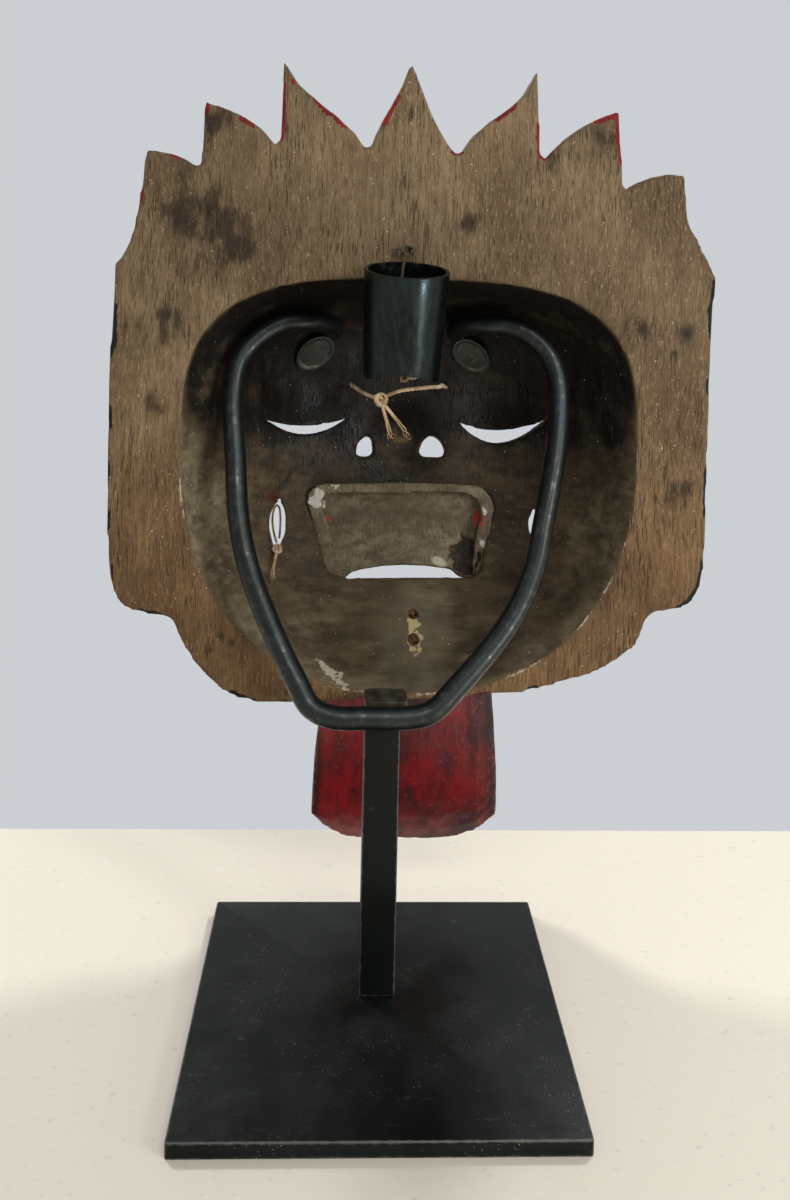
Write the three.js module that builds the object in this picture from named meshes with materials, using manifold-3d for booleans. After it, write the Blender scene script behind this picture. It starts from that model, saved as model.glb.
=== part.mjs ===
// Carved wooden cham mask of a wrathful guardian on its steel stand.
//
// Millimetres, +Z up. The origin is the centre of the base plate's underside. The face looks
// along -Y, so the hollow back and the cradle that holds the mask are on the +Y side.
// The mask is carved from one board: a flat back with a flame crown and two side panels, a
// domed face in front and a deep hollow behind it. Shapes on the mask are given in its own
// x and z, with x = 0 on the middle of the face.
import * as THREE from "three";
import { mergeVertices } from "three/addons/utils/BufferGeometryUtils.js";
import Module from "manifold-3d";

const wasm = await Module();
wasm.setup();

// ---- driving dimensions -------------------------------------------------------------------
const GAP = 0.3; // clearance between two pieces that touch

const PLATE = { side: 150, thick: 6, corner: 1.2, edge: 0.5 };
const POST = { side: 15, nearY: -3, topZ: 127.4 };
const CAP = { width: 18, depth: 15.5, thick: 2.5, centreX: -1.5, corner: 3 };

const ROD = { radius: 4.75, sides: 10, steps: 60 };
const PAD = { length: 23, width: 15, thick: 2.4, lean: 31 }; // lean in degrees
const LEFT_PAD = { centre: [33.7, -87, 269.7], turn: -38 };
const RIGHT_PAD = { centre: [-43, -90.6, 269.6], turn: 40 };

const TUBE = { topRadius: 18.1, bottomRadius: 16.4, wall: 1.7, length: 46 };
const TUBE_TOP = [-6.7, -8.6, 310];
const TUBE_LEAN = { back: 12, side: 1.6 }; // degrees
const TUBE_COPE = { radius: 26, rise: 4.5 }; // arched cut across the lower end

const MASK_X = -10.5; // middle of the face, a little off the post
const BACK_Y = -28; // flat back of the board
const BOARD = 13; // thickness of crown and side panels

// Egg outlines in x and z: half width, heights above and below the middle, and how square.
const FACE_Z = 232;
// The first of the two values of square is for the upper half.
const HOLLOW = {
  a: 100.5, top: 74.5, low: 108, depth: 70, square: [3.2, 2.3], wall: [6.5, 3, 4.6],
};
const FACE = { a: 114, top: 90, low: 111, depth: 84, square: [2.9, 2.4], wall: [4.6, 3.1, 6.5] };

const EYE = { x: 48, z: 249, radius: 18.5, pitDepth: 9, pitSpread: 19 };
const NOSE = { z: 226, pitDepth: 15, pitX: 17, pitZ: 17 };
const CORD = { radius: 1, sides: 8 };
const MOUTH = { innerY: -88, drop: 0.3, scoopRadius: 42, scoopDepth: 7 };
const TONGUE = { x: -3.5, rootHalf: 35, tipHalf: 45.5, thick: 11 };
const PEG = { radius: 2.4, x: -5.3 };
const PEGS = [
  { name: "upper_peg", z: 145, fromY: -74.5, toY: -101 },
  { name: "lower_peg", z: 136.5, fromY: -60.5, toY: -92 },
];

// ---- solids -------------------------------------------------------------------------------
function solidOf(geometry) {
  const bare = geometry.clone();
  for (const name of Object.keys(bare.attributes)) {
    if (name !== "position") bare.deleteAttribute(name);
  }
  const merged = mergeVertices(bare, 1e-4);
  return new wasm.Manifold(
    new wasm.Mesh({
      numProp: 3,
      vertProperties: new Float32Array(merged.attributes.position.array),
      triVerts: new Uint32Array(merged.index.array),
    }),
  );
}

function geometryOf(solid) {
  const mesh = solid.getMesh();
  const geometry = new THREE.BufferGeometry();
  geometry.setAttribute("position", new THREE.BufferAttribute(mesh.vertProperties, 3));
  geometry.setIndex(new THREE.BufferAttribute(mesh.triVerts, 1));
  return geometry;
}

// Cuts that just meet can leave a loose sliver beside the carving.
function largestOf(solid) {
  return solid.decompose().reduce((a, b) => (b.volume() > a.volume() ? b : a));
}

function piece(name, geometry, colour, roughness, metalness) {
  const material = new THREE.MeshStandardMaterial({ color: colour, roughness, metalness });
  const mesh = new THREE.Mesh(geometry, material);
  mesh.name = name;
  return mesh;
}

// A shape drawn in x and z, extruded from fromY towards -Y. With a slope it drops as it goes,
// and it has its drawn heights at y = pivot.
function prism(shape, fromY, length, { slope = 0, pivot = 0, segments = 6, bevel = 0 } = {}) {
  const geometry = new THREE.ExtrudeGeometry(shape, {
    depth: length - 2 * bevel,
    curveSegments: segments,
    bevelEnabled: bevel > 0,
    bevelThickness: bevel,
    bevelSize: bevel,
    bevelOffset: -bevel,
    bevelSegments: 1,
  });
  geometry.rotateX(Math.PI / 2);
  geometry.translate(0, fromY - bevel, 0);
  const at = geometry.attributes.position;
  for (let i = 0; i < at.count; i++) at.setZ(i, at.getZ(i) + slope * (at.getY(i) - pivot));
  return geometry;
}

function ball(centre, radii, columns = 20, rows = 12) {
  const geometry = new THREE.SphereGeometry(1, columns, rows);
  geometry.scale(...radii);
  geometry.translate(...centre);
  return geometry;
}

// A bar of round or oval section along a smooth line through the points.
function bar(points, radius, { sides = 8, steps = 30, flat = 1 } = {}) {
  const section = new THREE.Shape();
  section.absellipse(0, 0, radius, radius * flat, 0, Math.PI * 2);
  const through = points.map((p) => new THREE.Vector3(...p));
  const line = new THREE.CatmullRomCurve3(through, false, "centripetal");
  return new THREE.ExtrudeGeometry(section, { steps, curveSegments: sides / 2, extrudePath: line });
}

// Each step is a point to go to in a line, or a curve's control points and then its end.
function outline(steps) {
  const shape = new THREE.Shape();
  shape.moveTo(...steps[0]);
  for (const step of steps.slice(1)) {
    if (step.length === 2) shape.lineTo(...step);
    else if (step.length === 4) shape.quadraticCurveTo(...step);
    else shape.bezierCurveTo(...step);
  }
  shape.closePath();
  return shape;
}

// ---- stand --------------------------------------------------------------------------------
function roundedRectangle(width, depth, radius) {
  const [x, y] = [width / 2, depth / 2];
  const shape = new THREE.Shape();
  shape.moveTo(-x + radius, -y);
  shape.lineTo(x - radius, -y);
  shape.quadraticCurveTo(x, -y, x, -y + radius);
  shape.lineTo(x, y - radius);
  shape.quadraticCurveTo(x, y, x - radius, y);
  shape.lineTo(-x + radius, y);
  shape.quadraticCurveTo(-x, y, -x, y - radius);
  shape.lineTo(-x, -y + radius);
  shape.quadraticCurveTo(-x, -y, -x + radius, -y);
  return shape;
}

function basePlate() {
  const shape = roundedRectangle(PLATE.side, PLATE.side, PLATE.corner);
  const geometry = new THREE.ExtrudeGeometry(shape, {
    depth: PLATE.thick - 2 * PLATE.edge,
    curveSegments: 2,
    bevelThickness: PLATE.edge,
    bevelSize: PLATE.edge,
    bevelOffset: -PLATE.edge,
    bevelSegments: 1,
  });
  geometry.translate(0, 0, PLATE.edge);
  return geometry;
}

function post() {
  const foot = PLATE.thick + GAP;
  const height = POST.topZ - foot;
  const geometry = new THREE.BoxGeometry(POST.side, POST.side, height);
  geometry.translate(0, POST.nearY - POST.side / 2, foot + height / 2);
  return geometry;
}

function postCap() {
  const shape = roundedRectangle(CAP.width, CAP.depth, CAP.corner);
  const geometry = new THREE.ExtrudeGeometry(shape, {
    depth: CAP.thick, curveSegments: 3, bevelEnabled: false,
  });
  geometry.translate(CAP.centreX, POST.nearY - CAP.depth / 2, POST.topZ + GAP);
  return geometry;
}

// The cradle is one bar: up from the post on both sides, inwards over the brow and into the
// hollow. It leans forwards, so only its lower run stands behind the board.
const CRADLE_LINE = [
  [24.6, -81.8, 280.2], [25.2, -74, 283.2], [35, -62.5, 285.9], [47, -57.5, 285.5],
  [60.5, -54, 277],
  [67, -51, 267.5], [69, -47, 254], [66.5, -37, 226], [63.5, -27, 201], [58, -19.5, 181],
  [45, -10.5, 153], [36, -4, 138], [30, -0.5, 129], [21, 1.9, 125.6], [6, 2.05, 125.3],
  [-10, 2.05, 125.5], [-20, 1.2, 127.5], [-31, -2.5, 137], [-54, -12, 162], [-65, -19, 183],
  [-69.5, -25, 201], [-76, -36, 228], [-79, -45, 250], [-78, -50.5, 266], [-72.5, -54, 276.5],
  [-61, -57, 284.5], [-46, -62, 285.9], [-35.6, -73, 283.9], [-34.4, -83.6, 279.8],
];

function cradleRod() {
  return bar(CRADLE_LINE, ROD.radius, { sides: ROD.sides, steps: ROD.steps });
}

// Oval pad on the end of each arm, leaning against the inside of the brow.
function hookPad({ centre, turn }) {
  const geometry = new THREE.CylinderGeometry(0.5, 0.5, PAD.thick, 20);
  geometry.scale(PAD.width, 1, PAD.length);
  geometry.rotateY(THREE.MathUtils.degToRad(turn));
  geometry.rotateX(-THREE.MathUtils.degToRad(PAD.lean));
  geometry.translate(...centre);
  return geometry;
}

// ---- socket tube --------------------------------------------------------------------------
function socketTube() {
  const [top, low, wall, length] = [TUBE.topRadius, TUBE.bottomRadius, TUBE.wall, TUBE.length];
  const wallProfile = [
    [low - wall, -length], [low, -length], [top, 0], [top - wall, 0], [low - wall, -length],
  ].map((p) => new THREE.Vector2(...p));
  const shell = new THREE.LatheGeometry(wallProfile, 32);
  shell.rotateX(Math.PI / 2);
  const cope = new THREE.CylinderGeometry(TUBE_COPE.radius, TUBE_COPE.radius, 4 * top, 48);
  cope.translate(0, 0, -length - TUBE_COPE.radius + TUBE_COPE.rise);
  return geometryOf(solidOf(shell).subtract(solidOf(cope)));
}

// ---- mask ---------------------------------------------------------------------------------
// Each flame: the notch before it, its tip, and the control points of its two edges.
const FLAMES = [
  { from: [122, 326], up: [118.5, 345], tip: [117.5, 360], down: [100, 360] },
  { from: [93.5, 350.5], up: [92.5, 366], tip: [92.5, 381.5], down: [66, 376] },
  { from: [59.5, 358.7], up: [59, 380], tip: [58.5, 400.5], down: [50.5, 382, 28, 378] },
  { from: [20.5, 359.7], up: [18.5, 375, 7.5, 384], tip: [3, 401.5], down: [-3.5, 388, -7.5, 372] },
  { from: [-18.5, 360.3], up: [-27, 380, -46, 378], tip: [-52.7, 399.5], down: [-54, 376] },
  { from: [-54.5, 356.5], up: [-66, 375], tip: [-88.6, 382], down: [-91, 363] },
  { from: [-91.6, 346], up: [-100, 355], tip: [-119, 356], down: [-119.5, 343] },
];
const CROWN_END = [-122, 332];
const INNER_FLAME = [0.6, 0.68]; // its width and height beside the whole flame's

function boardOutline() {
  const steps = [[131.7, 229], [131.5, 261], [129.6, 311], [126.8, 313.2], [123, 322.5]];
  FLAMES.forEach(({ from, up, tip, down }, i) => {
    const next = i + 1 < FLAMES.length ? FLAMES[i + 1].from : CROWN_END;
    if (i === 0) steps.push(from);
    steps.push([...up, ...tip], [...down, ...next]);
  });
  steps.push(
    [-129.7, 318], [-134, 309], [-133, 299], [-131.7, 184.5], [-131.5, 166, -121, 163],
    [-108, 160.3], [-105.5, 156], [-104.5, 150], [-95, 137, -72, 130], [-50.6, 124.8],
    [2.3, 121.4], [63.5, 119.8], [84, 121, 98, 146], [102.5, 156], [120, 160],
    [129, 163, 130.7, 181],
  );
  return outline(steps);
}

// Where a point lies in an egg outline: 0 in the middle, 1 on the line.
function eggRadius(egg, x, z) {
  const up = z >= FACE_Z;
  const power = egg.square[up ? 0 : 1];
  const h = Math.abs(z - FACE_Z) / (up ? egg.top : egg.low);
  return (Math.abs(x / egg.a) ** power + h ** power) ** (1 / power);
}

// How square the wall is, from the brow (first) over the sides to the chin (last).
function eggWall(egg, x, z) {
  const lean = Math.atan2(z - FACE_Z, Math.abs(x)) / (Math.PI / 2);
  const [brow, side, chin] = egg.wall;
  return side + (lean > 0 ? (brow - side) * lean : (side - chin) * lean);
}

function bump(x, z, atX, atZ, spreadX, spreadZ) {
  return Math.exp(-(((x - atX) / spreadX) ** 2) - ((z - atZ) / spreadZ) ** 2);
}

function eggDepth(egg, x, z) {
  const r = Math.min(1, eggRadius(egg, x, z));
  return egg.depth * (1 - r ** eggWall(egg, x, z));
}

function hollowDepth(x, z) {
  const inside = Math.max(0, 1 - eggRadius(HOLLOW, x, z) ** 4);
  const eyes = bump(Math.abs(x), z, EYE.x, EYE.z - 4, EYE.pitSpread, EYE.pitSpread);
  const nose = bump(x, z, 0, NOSE.z, NOSE.pitX, NOSE.pitZ);
  return eggDepth(HOLLOW, x, z) + inside * (EYE.pitDepth * eyes + NOSE.pitDepth * nose);
}

function faceY(x, z) {
  return BACK_Y - Math.max(BOARD, eggDepth(FACE, x, z));
}

// A closed cap over an egg outline: a ball whose front half takes the depth given for each
// place, and whose back half is pressed flat at backY.
function eggSolid(egg, depthAt, backY, columns, rows) {
  const geometry = new THREE.SphereGeometry(1, columns, rows);
  const at = geometry.attributes.position;
  for (let i = 0; i < at.count; i++) {
    const [u, depth, v] = [at.getX(i), -at.getY(i), at.getZ(i)];
    const r = Math.min(1, Math.hypot(u, v));
    const up = v >= 0;
    const power = 2 / egg.square[up ? 0 : 1];
    const angle = Math.atan2(v, u);
    const [c, s] = [Math.cos(angle), Math.sin(angle)];
    const x = r * egg.a * Math.sign(c) * Math.abs(c) ** power;
    const z = FACE_Z + r * (up ? egg.top : egg.low) * Math.sign(s) * Math.abs(s) ** power;
    const y = depth > 1e-6 ? BACK_Y - depthAt(x, z) : backY;
    at.setXYZ(i, x, y, z);
  }
  return geometry;
}

// Raised inner flame on the front of each flame of the crown.
function innerFlame(index) {
  const { from, up, tip, down } = FLAMES[index];
  const next = index + 1 < FLAMES.length ? FLAMES[index + 1].from : CROWN_END;
  const root = [(from[0] + next[0]) / 2, Math.min(from[1], next[1]) - 6];
  const draw = (...at) => at.map((v, i) => root[i % 2] + INNER_FLAME[i % 2] * (v - root[i % 2]));
  const shape = outline([
    draw(...from), draw(...up, ...tip), draw(...down, ...next),
    [root[0], root[1] - 22, ...draw(...from)],
  ]);
  return prism(shape, BACK_Y - BOARD + 1, 4.5, { segments: 2, bevel: 1 });
}

function ear(side) {
  const shape = outline([
    [side * 112, 268], [side * 124, 276, side * 128, 262], [side * 130, 240, side * 126, 222],
    [side * 129, 200, side * 124, 186], [side * 117, 178, side * 111, 188], [side * 108, 225],
  ]);
  return prism(shape, BACK_Y - BOARD + 1, 11, { segments: 4, bevel: 2 });
}

function brow(side) {
  const points = [[8, 262], [22, 277], [46, 287], [72, 281], [90, 262], [99, 270]];
  const line = points.map(([x, z]) => [side * x, faceY(x, z) - 2, z]);
  return bar(line, 7.5, { sides: 8, steps: 11, flat: 0.8 });
}

function eyeball(side) {
  return ball([side * EYE.x, faceY(EYE.x, EYE.z) + 5, EYE.z], [EYE.radius, 17, EYE.radius - 1], 16, 10);
}

function eyelid(side) {
  const line = [];
  for (let i = 0; i <= 8; i++) {
    const angle = Math.PI * (0.02 + (0.96 * i) / 8);
    const [x, z] = [EYE.x + 24 * Math.cos(angle), EYE.z - 8 + 27 * Math.sin(angle)];
    line.push([side * x, faceY(x, z) - 0.5, z]);
  }
  return bar(line, 3.6, { sides: 6, steps: 9 });
}

function nose() {
  const bridge = [[0, 262], [0, 246], [0, 233]].map(([x, z], i) => [x, faceY(x, z) - 1 - 4 * i, z]);
  return [
    bar([[0, faceY(0, 274) + 6, 272], ...bridge], 11, { sides: 10, steps: 8 }),
    ball([0, faceY(0, 232) - 4, 231], [15.5, 16, 12.5], 14, 8),
    ball([17, faceY(17, 226) - 0.5, 226], [11.5, 11, 10.5], 12, 8),
    ball([-17, faceY(17, 226) - 0.5, 226], [11.5, 11, 10.5], 12, 8),
  ];
}

function cheek(side) {
  return ball([side * 60, faceY(60, 204) + 11, 205], [24, 20, 21], 16, 8);
}

// Rolled lips around the open mouth.
function lips() {
  const upper = [
    [-66, 178], [-58, 198], [-34, 211], [-12, 214], [0, 211], [12, 214], [34, 211], [58, 198],
    [66, 178],
  ];
  const lower = [
    [-63, 181], [-54, 161], [-30, 151.5], [0, 148.5], [30, 151.5], [54, 161], [63, 181],
  ];
  const along = (line) => line.map(([x, z]) => [x, faceY(x, z) - 1, z]);
  return [
    bar(along(upper), 5.5, { sides: 6, steps: 15 }),
    bar(along(lower), 5, { sides: 6, steps: 12 }),
  ];
}

// The mouth is cut right through. Its upper part takes the block with the teeth, and a slit
// stays open under the block. The cut drops towards the front, so that light comes through
// the slit from above. Heights are those at the inner side of the lips.
function mouthCut() {
  const [w, high] = [46.5 + GAP, 205 + GAP];
  const shape = outline([
    [w, 196], [w, high, 36, high], [0, high + 1], [-32, high + 0.5],
    [-43 - GAP, high, -45 - GAP, 194], [-42 - GAP, 180], [-39, 161.5], [-34, 159.5],
    [0, 160, 28, 158.5], [37 + GAP, 163],
  ]);
  return prism(shape, MOUTH.innerY + 30, 75, { slope: MOUTH.drop, pivot: MOUTH.innerY });
}

// Block of paler wood let into the mouth: scooped behind, upper teeth in front.
function mouthBlock() {
  const shape = outline([
    [46.5, 196], [46.5, 205, 36, 205], [0, 206], [-32, 205.5], [-43, 205, -45, 194],
    [-42, 180], [-38.5, 163.5], [-35, 162.3], [0, 171, 29, 161], [36.5, 164.5],
  ]);
  const level = { slope: MOUTH.drop, pivot: MOUTH.innerY };
  let solid = solidOf(prism(shape, MOUTH.innerY, 13, level));
  const scoop = new THREE.CylinderGeometry(MOUTH.scoopRadius, MOUTH.scoopRadius, 120, 64);
  scoop.rotateZ(Math.PI / 2);
  scoop.scale(1, 1, 1.15);
  scoop.translate(0, MOUTH.innerY - MOUTH.scoopDepth + MOUTH.scoopRadius, 183);
  const along = solidOf(scoop).intersect(solidOf(prism(mouthScoopOutline(), MOUTH.innerY + 20, 40)));
  solid = solid.subtract(along);
  for (let i = -3; i <= 3; i++) {
    const fang = Math.abs(i) === 3;
    const [x, half, top] = [i * 11.4 - 1, fang ? 4.6 : 5.1, 186];
    const low = fang ? 163.5 : 171 - Math.abs(i) * 0.4;
    const tooth = outline([
      [x + half, top], [x + half, low + 5], [x + half, low, x, low],
      [x - half, low, x - half, low + 5], [x - half, top], [x, top + 5, x + half, top],
    ]);
    const cut = { ...level, segments: 3, bevel: 1.4 };
    solid = solid.add(solidOf(prism(tooth, MOUTH.innerY - 11, fang ? 9.5 : 7, cut)));
  }
  return geometryOf(largestOf(solid));
}

// The scoop stays inside the block's rim, except below, where it runs out.
function mouthScoopOutline() {
  return outline([
    [40, 194], [40, 201, 31, 201], [-28, 202], [-39, 202, -39.5, 190], [-37, 172],
    [-32, 140], [30, 140], [34, 172],
  ]);
}

// The tongue comes over the lower lip, lies against the chin and hangs free below it. Its
// middle line is given as [y, z] from root to tip.
const TONGUE_LINE = [
  [-101.5, 152.5], [-99.5, 144], [-89, 134.5], [-82.5, 125], [-79, 110], [-78.2, 90],
  [-81, 65], [-86.5, 45], [-94, 29.5],
];
function tongueBody(grow = 0) {
  const line = new THREE.CatmullRomCurve3(TONGUE_LINE.map(([y, z]) => new THREE.Vector3(0, y, z)));
  const geometry = new THREE.BoxGeometry(2, 1, 1, 10, 1, 15);
  const at = geometry.attributes.position;
  for (let i = 0; i < at.count; i++) {
    const [across, side, fraction] = [at.getX(i), at.getY(i), 0.5 - at.getZ(i)];
    const shorter = 1 - 0.13 * Math.abs(across) ** 5;
    const along = Math.min(1, fraction * shorter);
    const point = line.getPointAt(along);
    const run = line.getTangentAt(along);
    const widening = Math.sin((along * Math.PI) / 2);
    const half = TONGUE.rootHalf + (TONGUE.tipHalf - TONGUE.rootHalf) * widening;
    const rim = 1 - 0.35 * Math.abs(across) ** 3;
    const tip = 1 - 0.45 * along ** 5;
    const offset = side * (TONGUE.thick * rim * tip + 2 * grow);
    const end = grow * (fraction < 0.01 ? -1 : fraction > 0.99 ? 1 : 0);
    const x = TONGUE.x + across * (half + grow);
    at.setXYZ(i, x, point.y + run.y * end - run.z * offset, point.z + run.z * end + run.y * offset);
  }
  return geometry;
}

function tongue() {
  const cut = PEGS.map((peg) => solidOf(pegBody(peg, GAP)));
  return geometryOf(cut.reduce((solid, bore) => solid.subtract(bore), solidOf(tongueBody())));
}

// The slit under each eyeball, a crescent with its ends up, cut along the line of sight.
const SLITS = [
  { inner: [29, 237], outer: [68, 236], mid: 50, low: 225.5, thick: 4.2 },
  { inner: [-27.5, 237], outer: [-70, 238.5], mid: -47, low: 220.5, thick: 6.4 },
];
function slitCut({ inner, outer, mid, low, thick }) {
  const shape = outline([inner, [mid, low - thick, ...outer], [mid, low + thick, ...inner]]);
  return prism(shape, -60, 75, { slope: 0.13, pivot: -92, segments: 7 });
}

function nostrilCuts() {
  const left = outline([[14.5, 216], [24, 216.2], [24.2, 226.4, 15.8, 227]]);
  const right = outline([[-8.8, 216.4], [-9, 227, -15.5, 227.4], [-22, 226, -22.5, 216.2]]);
  const drop = { slope: 0.15, pivot: -106, segments: 5 };
  return [left, right].map((shape) => prism(shape, -80, 70, drop));
}

// Lens-shaped holes for the strap, one in each temple.
function strapCut(side) {
  const [low, high, x] = side > 0 ? [178, 204, 61.5] : [180, 202, 66];
  const mid = (low + high) / 2;
  const shape = outline([
    [side * x, low], [side * (x + 9.5), mid, side * (x - 0.5), high],
    [side * (x - 9), mid, side * x, low],
  ]);
  return prism(shape, -34, 84, { slope: 0.2, pivot: -62, segments: 5 });
}

// Two pegs hold the tongue: through the chin and a little way into the tongue.
function pegBody({ z, fromY, toY }, grow = 0) {
  const radius = PEG.radius + grow;
  const peg = new THREE.CylinderGeometry(radius, radius, fromY - toY + 2 * grow, 10);
  peg.translate(PEG.x, (fromY + toY) / 2, z);
  return peg;
}

function pegBore({ z, toY }) {
  return pegBody({ z, fromY: BACK_Y - 6, toY: toY - 4 }, GAP);
}

function maskBody() {
  const board = prism(boardOutline(), BACK_Y, BOARD, { segments: 5 });
  const added = [
    eggSolid(FACE, (x, z) => eggDepth(FACE, x, z), BACK_Y - 1, 32, 20),
    ...FLAMES.map((_, i) => innerFlame(i)),
    ...[1, -1].flatMap((side) => [ear(side), brow(side), eyeball(side), eyelid(side), cheek(side)]),
    ...nose(),
    ...lips(),
  ];
  let solid = solidOf(board);
  for (const geometry of added) solid = solid.add(solidOf(geometry));
  const cuts = [
    eggSolid(HOLLOW, hollowDepth, BACK_Y + 3, 32, 22),
    mouthCut(),
    ...SLITS.map(slitCut),
    ...nostrilCuts(),
    strapCut(1),
    strapCut(-1),
    ...PEGS.map(pegBore),
    tongueBody(GAP),
  ];
  for (const geometry of cuts) solid = solid.subtract(solidOf(geometry));
  return geometryOf(largestOf(solid));
}

// ---- cords and knots ------------------------------------------------------------------------
// The lashing comes out of two small holes in the brow and passes under the tube.
const LASHING_LINE = [
  [15.8, -98.4, 253.3], [15.9, -88, 254.2], [15.8, -74, 255.6], [15.8, -60, 256.8],
  [15.6, -46, 258], [14.6, -33, 258.6], [11.2, -22.5, 257.4], [6.8, -16, 256],
  [3.3, -13.4, 255.6], [-0.4, -11.4, 257.5], [-4.6, -10.3, 259.2], [-9, -10.2, 260],
  [-13.6, -12, 260.3], [-18, -16.4, 260.4], [-21.6, -24, 259.8], [-24, -35, 259.2],
  [-25.4, -50, 258.2], [-27.2, -66, 256.6], [-29.4, -82, 254.6], [-31.6, -98.4, 252.7],
];
const LASHING_TAILS = [
  [[3.2, -9.4, 255], [1, -10.6, 247.6], [-0.5, -11, 242.6], [-1.2, -11.2, 238.8]],
  [[3.2, -9.4, 255], [-2.4, -9.8, 248.4], [-5.9, -9, 244], [-8.5, -9, 240.2]],
];
const TUBE_THREAD = [
  [-5.2, -15, 262.6], [-7.2, -17, 264.6], [-10.4, -17.4, 264], [-13.8, -18, 265.6],
];
const TOP_TIE = [
  [-4.6, -17.8, 303], [-5.2, -20.4, 309], [-6.2, -22.6, 315.4], [-7.4, -24.4, 318.2],
];
const TOP_TIE_TAIL = [[-6, -25.4, 318.6], [-3.4, -25.8, 319.4], [-0.6, -25.6, 318.6]];
const STRAP_LINE = [
  [49.9, -73.6, 179.4], [51.6, -76.4, 184], [52.5, -79, 189.6], [51.9, -81.6, 194],
  [50.7, -84, 195.2], [49.6, -84.6, 193.8], [48.9, -82.4, 190], [48.7, -79.4, 185],
  [48.8, -76, 181],
];
const STRAP_TAIL = [[49.4, -70, 177.2], [50, -67, 173], [50.8, -62.6, 168.6], [51, -59.2, 165.6]];

function cord(line, steps) {
  return bar(line, CORD.radius, { sides: CORD.sides, steps });
}

// A tied knot with its tails, joined to one solid.
function knot(centre, radii, tails) {
  const parts = tails.map((line) => solidOf(cord(line, 6)));
  return geometryOf(parts.reduce((solid, tail) => solid.add(tail), solidOf(ball(centre, radii, 10, 7))));
}

// ---- group --------------------------------------------------------------------------------
const group = new THREE.Group();
const BLACK = 0x0c0e0c;
const GUNMETAL = 0x27302f;
const STRING = 0xb09a70;
group.add(piece("base_plate", basePlate(), BLACK, 0.45, 0.1));
group.add(piece("post", post(), BLACK, 0.45, 0.1));
group.add(piece("post_cap", postCap(), 0x35352a, 0.6, 0.5));
group.add(piece("cradle_rod", cradleRod(), GUNMETAL, 0.35, 0.8));
group.add(piece("left_hook_pad", hookPad(LEFT_PAD), GUNMETAL, 0.45, 0.8));
group.add(piece("right_hook_pad", hookPad(RIGHT_PAD), GUNMETAL, 0.45, 0.8));

const tube = piece("socket_tube", socketTube(), 0x2a3234, 0.3, 0.85);
tube.position.set(...TUBE_TOP);
tube.rotation.set(
  -THREE.MathUtils.degToRad(TUBE_LEAN.back), THREE.MathUtils.degToRad(-TUBE_LEAN.side), 0,
);
group.add(tube);

const mask = new THREE.Group();
mask.position.x = MASK_X;
mask.add(piece("mask_body", maskBody(), 0x6b5638, 0.8, 0));
mask.add(piece("mouth_block", mouthBlock(), 0x7a6a48, 0.75, 0));
mask.add(piece("tongue", tongue(), 0x6e0d12, 0.5, 0));
for (const peg of PEGS) mask.add(piece(peg.name, pegBody(peg), 0x5a2a16, 0.9, 0));
group.add(mask);

const KNOTS = [
  { name: "lashing_knot", centre: [3.4, -9.2, 255.2], radii: [2.7, 2.6, 3], tails: LASHING_TAILS },
  { name: "tube_knot", centre: [-7, -15.8, 264.4], radii: [2, 2, 2.2], tails: [TUBE_THREAD] },
  { name: "strap_knot", centre: [49.4, -69.8, 177.2], radii: [2.4, 2.2, 2.4], tails: [STRAP_TAIL] },
];
for (const { name, centre, radii, tails } of KNOTS) {
  group.add(piece(name, knot(centre, radii, tails), STRING, 0.9, 0));
}
const rimTie = knot([-7.4, -25.1, 318.4], [3, 2.4, 2.6], [TOP_TIE, TOP_TIE_TAIL]);
group.add(piece("top_tie", rimTie, 0x3a2c1c, 0.9, 0));
group.add(piece("tube_lashing", cord(LASHING_LINE, 44), STRING, 0.9, 0));
group.add(piece("strap_cord", cord(STRAP_LINE, 20), STRING, 0.9, 0));

export default group;
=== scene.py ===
# Carved wooden dance mask of a wrathful guardian, held by a steel cradle on a post and foot.
# Metres, +Z up, the painted face along -Y and the hollow back along +Y. The sections follow
# the object as it is put together, after the camera and the string, which are set first.
import math

import bmesh
import bpy
import numpy as np
from mathutils import Matrix, Vector, noise


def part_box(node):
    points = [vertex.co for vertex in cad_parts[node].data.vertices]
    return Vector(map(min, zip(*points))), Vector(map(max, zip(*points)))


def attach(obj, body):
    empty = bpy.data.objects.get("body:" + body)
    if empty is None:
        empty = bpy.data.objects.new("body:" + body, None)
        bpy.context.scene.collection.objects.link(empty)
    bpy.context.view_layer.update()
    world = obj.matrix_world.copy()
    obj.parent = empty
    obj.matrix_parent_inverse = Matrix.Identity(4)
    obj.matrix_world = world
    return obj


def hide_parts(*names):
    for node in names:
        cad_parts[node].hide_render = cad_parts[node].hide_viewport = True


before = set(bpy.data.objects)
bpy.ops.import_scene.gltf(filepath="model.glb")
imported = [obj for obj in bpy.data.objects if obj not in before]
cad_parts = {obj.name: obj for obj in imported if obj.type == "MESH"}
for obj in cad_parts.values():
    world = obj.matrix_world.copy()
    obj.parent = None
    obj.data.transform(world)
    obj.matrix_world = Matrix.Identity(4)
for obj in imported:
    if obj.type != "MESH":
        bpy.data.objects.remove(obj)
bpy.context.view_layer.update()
MM = 0.001

# ---- Camera ---------------------------------------------------------------------------------
# Stands behind the mask a little above the brow, tipped a little down and rolled a little.
camera_data = bpy.data.cameras.new("camera")
camera_data.lens = 33.385
camera_data.shift_y = -0.2526
camera_data.clip_start = 0.01
camera = bpy.data.objects.new("camera", camera_data)
camera.matrix_world = (
    Matrix.Translation((0.0153, 0.4576, 0.3053))
    @ Matrix.Rotation(math.pi - 0.0366, 4, "Z")
    @ Matrix.Rotation(math.radians(90 - 0.8), 4, "X")
    @ Matrix.Rotation(0.0212, 4, "Z")
)
bpy.context.scene.collection.objects.link(camera)
bpy.context.scene.camera = camera

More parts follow.
